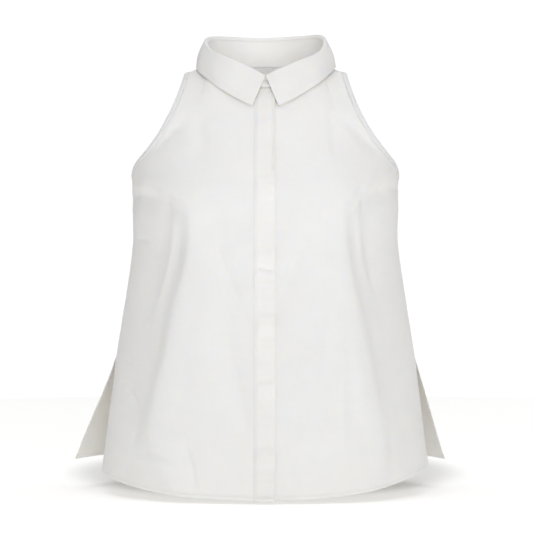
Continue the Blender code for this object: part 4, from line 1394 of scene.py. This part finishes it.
def floor_material(colour, glow):
    """A plain pale studio floor with a painted glow that whitens it to the eye, held lower in a soft oval
    round the shirt as a painted shadow.
    """
    material, tree, shader = new_material("studio_floor", {
        "Base Color": (*colour, 1.0), "Roughness": 0.95, "Specular IOR Level": 0.1, "Emission Color": WHITE,
    })
    place = add_node(tree, "ShaderNodeTexCoord", (-1300, -500))
    # The glow is held lower in a soft oval round the shirt: a painted shadow on the floor.
    inputs = {"Location": FLOOR_PAINTED_SHADOW_CENTRE, "Scale": FLOOR_PAINTED_SHADOW_SIZE, "Vector": place.outputs["Object"]}
    painted_shadow_oval = add_node(tree, "ShaderNodeMapping", (-1100, -500), inputs, vector_type="TEXTURE")
    away = add_node(tree, "ShaderNodeVectorMath", (-900, -500), {0: painted_shadow_oval.outputs[0]}, operation="LENGTH")
    inputs = {
        "From Min": FLOOR_PAINTED_SHADOW_START, "From Max": FLOOR_PAINTED_SHADOW_END,
        "To Min": glow * FLOOR_PAINTED_SHADOW_SHARE, "To Max": glow, "Value": away.outputs["Value"],
    }
    glow_outside_painted_shadow = add_node(tree, "ShaderNodeMapRange", (-700, -500), inputs, interpolation_type="SMOOTHSTEP")
    # The glow is painted light: all of it reaches the camera, and a share of it lights the shirt.
    seen = add_node(tree, "ShaderNodeLightPath", (-500, -300)).outputs["Is Camera Ray"]
    share = add_node(tree, "ShaderNodeMapRange", (-400, -300), {"To Min": FLOOR_GLOW_AROUND, "Value": seen})
    inputs = {0: share.outputs[0], 1: glow_outside_painted_shadow.outputs[0]}
    white = add_node(tree, "ShaderNodeMath", (-200, -300), inputs, operation="MULTIPLY")
    fill_inputs(tree, shader, {"Emission Strength": white.outputs[0]})
    return material


def cotton(layers="single"):
    """The shirt's cotton, made once for single cloth and once for the stiffened collar and fly, whose colour
    is a darker copy of it: painted shade.
    """
    name = "white_cotton_" + layers
    scene = bpy.context.scene
    # The stiffened cloth takes a darker copy of the cotton's colour: painted shade.
    colours = {"single": scene.shirt_colours.cotton, "stiffened": scene.shirt_colours.facing}
    found = bpy.data.materials.get(name)
    return found or cotton_material(name, colours[layers], scene.shirt_sizes.yarn, LIGHT_GOES_THROUGH[layers])


def thread():
    """The sewing thread, made once."""
    return bpy.data.materials.get("sewing_thread") or thread_material(bpy.context.scene.shirt_colours.thread)


# ---------------------------------------------------------------- studio
def add_to_scene(name, data, place, turn=(0.0, 0.0, 0.0)):
    """A light or a camera at its place."""
    made = bpy.data.objects.new(name, data)
    made.location, made.rotation_euler = place, turn
    bpy.context.scene.collection.objects.link(made)
    return made


def light_world(strength):
    """Even light from all round, behind which the camera sees plain white."""
    world = bpy.data.worlds.new("studio")
    bpy.context.scene.world = world
    world.use_nodes = True
    tree = world.node_tree
    sky = tree.nodes["Background"]
    fill_inputs(tree, sky, {"Color": WHITE, "Strength": strength})
    backdrop = add_node(
        tree, "ShaderNodeBackground", (0, -200), {"Color": WHITE, "Strength": BACKDROP_STRENGTH}
    )
    seen = add_node(tree, "ShaderNodeLightPath", (-200, 300)).outputs["Is Camera Ray"]
    inputs = {0: seen, 1: sky.outputs[0], 2: backdrop.outputs[0]}
    blend = add_node(tree, "ShaderNodeMixShader", (250, 0), inputs)
    fill_inputs(tree, tree.nodes["World Output"], {"Surface": blend.outputs[0]})


# ---------------------------------------------------------------- operators
class SHIRT_OT_fronts(Operator):
    """Lays the two fronts, creased and hemmed, over their solids"""

    bl_idname = "shirt.fronts"
    bl_label = "Fronts"

    def execute(self, context):
        sizes = context.scene.shirt_sizes
        inset = sizes.hem - STITCH_INSET
        for node, sign in (("front_right", -1), ("front_left", 1)):
            points = front_points(sign)
            cloth_sheet(node, points, sizes.shell)
            slit = slit_line(points, SIDE_EDGE[sign], inset)
            make_stitches(node, [inset_line(points, "bottom", inset), slit])
        return {"FINISHED"}


class SHIRT_OT_back(Operator):
    """Lays the back, creased and hemmed, over its solid"""

    bl_idname = "shirt.back"
    bl_label = "Back"

    def execute(self, context):
        sizes = context.scene.shirt_sizes
        points = back_points()
        cloth_sheet("back", points, sizes.shell)
        inset = sizes.hem - STITCH_INSET
        lines = [inset_line(points, "bottom", inset)]
        lines += [slit_line(points, edge, inset) for edge in ("left", "right")]
        neck, out = inset_line(points, "top", BACK_NECK_STITCHES)
        stitched = np.abs(neck[:, 0]) < NECK_HALF_WIDTH * BACK_NECK_STITCHED_SHARE
        lines.append((neck[stitched] - out[stitched] * sizes.shell, -out[stitched]))
        make_stitches("back", lines)
        return {"FINISHED"}


class SHIRT_OT_fly(Operator):
    """Lays the fly strip over the buttons, with its wrinkles and its rows of stitches"""

    bl_idname = "shirt.fly"
    bl_label = "Fly strip"

    def execute(self, context):
        points = fly_points(front_points(-1))
        cloth_sheet("placket", points, context.scene.shirt_sizes.shell, "stiffened")
        side = inset_line(points, "left", FLY_SIDE_STITCHES)
        make_stitches("placket", [side, inset_line(points, "bottom", FLY_HEM_STITCHES)])
        return {"FINISHED"}


class SHIRT_OT_collar(Operator):
    """Lays the collar's stand and its turned-down leaf"""

    bl_idname = "shirt.collar"
    bl_label = "Collar"

    def execute(self, context):
        sizes = context.scene.shirt_sizes
        stand, leaf = stand_points(), leaf_points()
        cloth_sheet("collar_stand", stand, sizes.shell, "stiffened")
        cloth_sheet("collar_leaf", leaf, sizes.collar_shell, "stiffened")
        past_roll = LEAF_ROLL_STEPS * (len(LEAF_ROLL) - 1) + 1
        lines = [inset_line(stand, "bottom", STAND_STITCHES), inset_line(leaf, "top", LEAF_STITCHES)]
        for edge in ("left", "right"):
            line, out = inset_line(leaf, edge, LEAF_STITCHES)
            lines.append((line[past_roll:], out[past_roll:]))
        make_stitches("collar", lines)
        return {"FINISHED"}


class SHIRT_OT_bindings(Operator):
    """Folds a binding over each armhole edge and stitches it"""

    bl_idname = "shirt.bindings"
    bl_label = "Armhole bindings"

    def execute(self, context):
        sizes = context.scene.shirt_sizes
        back = back_points()
        for node, sign in (("armhole_binding_right", -1), ("armhole_binding_left", 1)):
            ring = binding_ring(sign, front_points(sign), back)
            make_binding(node, sign, ring)
            places, out, into = ring
            line = places + into * (sizes.binding - BINDING_STITCH_INSET)
            line = line + out * (BINDING_STITCH_OUT - sizes.shell / 2)
            make_stitches(node, [(closed(line), closed(out))])
        return {"FINISHED"}


class SHIRT_OT_buttons(Operator):
    """Gives the hidden buttons their polished, faintly cloudy finish"""

    bl_idname = "shirt.buttons"
    bl_label = "Buttons"

    def execute(self, context):
        material = button_material(context.scene.shirt_colours.button)
        for index in range(BUTTON_COUNT):
            name = "button_%d" % (index + 1)
            if name not in bpy.data.objects:
                raise RuntimeError("the packed model has no " + name)
            node = bpy.data.objects[name]
            node.data.materials.clear()
            node.data.materials.append(material)
        return {"FINISHED"}


class SHIRT_OT_studio(Operator):
    """Sets the floor, the soft lights and the camera"""

    bl_idname = "shirt.studio"
    bl_label = "Studio"

    def execute(self, context):
        studio = context.scene.shirt_studio
        deselect()
        bpy.ops.mesh.primitive_circle_add(vertices=FLOOR_SIDES, radius=FLOOR_RADIUS, fill_type="NGON")
        floor = context.object
        floor.name = floor.data.name = "floor"
        floor.data.transform(Matrix.Translation((0.0, 0.0, studio.floor_height)))
        floor.data.materials.append(floor_material(context.scene.shirt_colours.floor, studio.glow))
        light_world(studio.sky)
        middle = Vector((0.0, 0.0, studio.height))
        for lamp in STUDIO_LIGHTS:
            light = bpy.data.lights.new(lamp.name, "AREA")
            light.shape, light.size = "DISK", lamp.size
            light.energy = getattr(studio, lamp.strength) * lamp.share
            facing = (middle - Vector(lamp.place)).to_track_quat("-Z", "Y").to_euler()
            add_to_scene(lamp.name, light, lamp.place, facing)
        light = bpy.data.lights.new("inside", "POINT")
        light.shadow_soft_size, light.energy = NECK_FILL_SOFTNESS, studio.inside
        add_to_scene("inside", light, NECK_FILL_PLACE).visible_camera = False
        camera = bpy.data.cameras.new("camera")
        camera.lens, camera.sensor_width = studio.lens, SENSOR_WIDTH
        stand = (studio.aside, -studio.distance, studio.height)
        context.scene.camera = add_to_scene("camera", camera, stand, (math.pi / 2, 0.0, 0.0))
        context.scene.view_settings.view_transform = "Standard"
        return {"FINISHED"}


class SHIRT_PT_panel(Panel):
    """The shirt's sizes, colours and steps"""

    bl_label = "Sleeveless Shirt"
    bl_idname = "SHIRT_PT_panel"
    bl_space_type = "VIEW_3D"
    bl_region_type = "UI"
    bl_category = "Shirt"

    def draw(self, context):
        scene = context.scene
        for group in (scene.shirt_sizes, scene.shirt_colours, scene.shirt_studio):
            box = self.layout.box()
            for name in group.__annotations__:
                box.prop(group, name)
        for operator in OPERATORS:
            self.layout.operator(operator.bl_idname)


OPERATORS = (
    SHIRT_OT_fronts,
    SHIRT_OT_back,
    SHIRT_OT_fly,
    SHIRT_OT_collar,
    SHIRT_OT_bindings,
    SHIRT_OT_buttons,
    SHIRT_OT_studio,
)
CLASSES = (ShirtSizes, ShirtColours, ShirtStudio, *OPERATORS, SHIRT_PT_panel)


def register():
    """Adds the sizes, the steps and the panel to Blender."""
    for made in CLASSES:
        bpy.utils.register_class(made)
    bpy.types.Scene.shirt_sizes = PointerProperty(type=ShirtSizes)
    bpy.types.Scene.shirt_colours = PointerProperty(type=ShirtColours)
    bpy.types.Scene.shirt_studio = PointerProperty(type=ShirtStudio)


def unregister():
    """Takes them out again."""
    for name in ("shirt_sizes", "shirt_colours", "shirt_studio"):
        delattr(bpy.types.Scene, name)
    for made in reversed(CLASSES):
        bpy.utils.unregister_class(made)


def main():
    """Makes the shirt and its studio."""
    register()
    bpy.ops.shirt.fronts()
    bpy.ops.shirt.back()
    bpy.ops.shirt.fly()
    bpy.ops.shirt.collar()
    bpy.ops.shirt.bindings()
    bpy.ops.shirt.buttons()
    bpy.ops.shirt.studio()


if __name__ == "__main__":
    main()
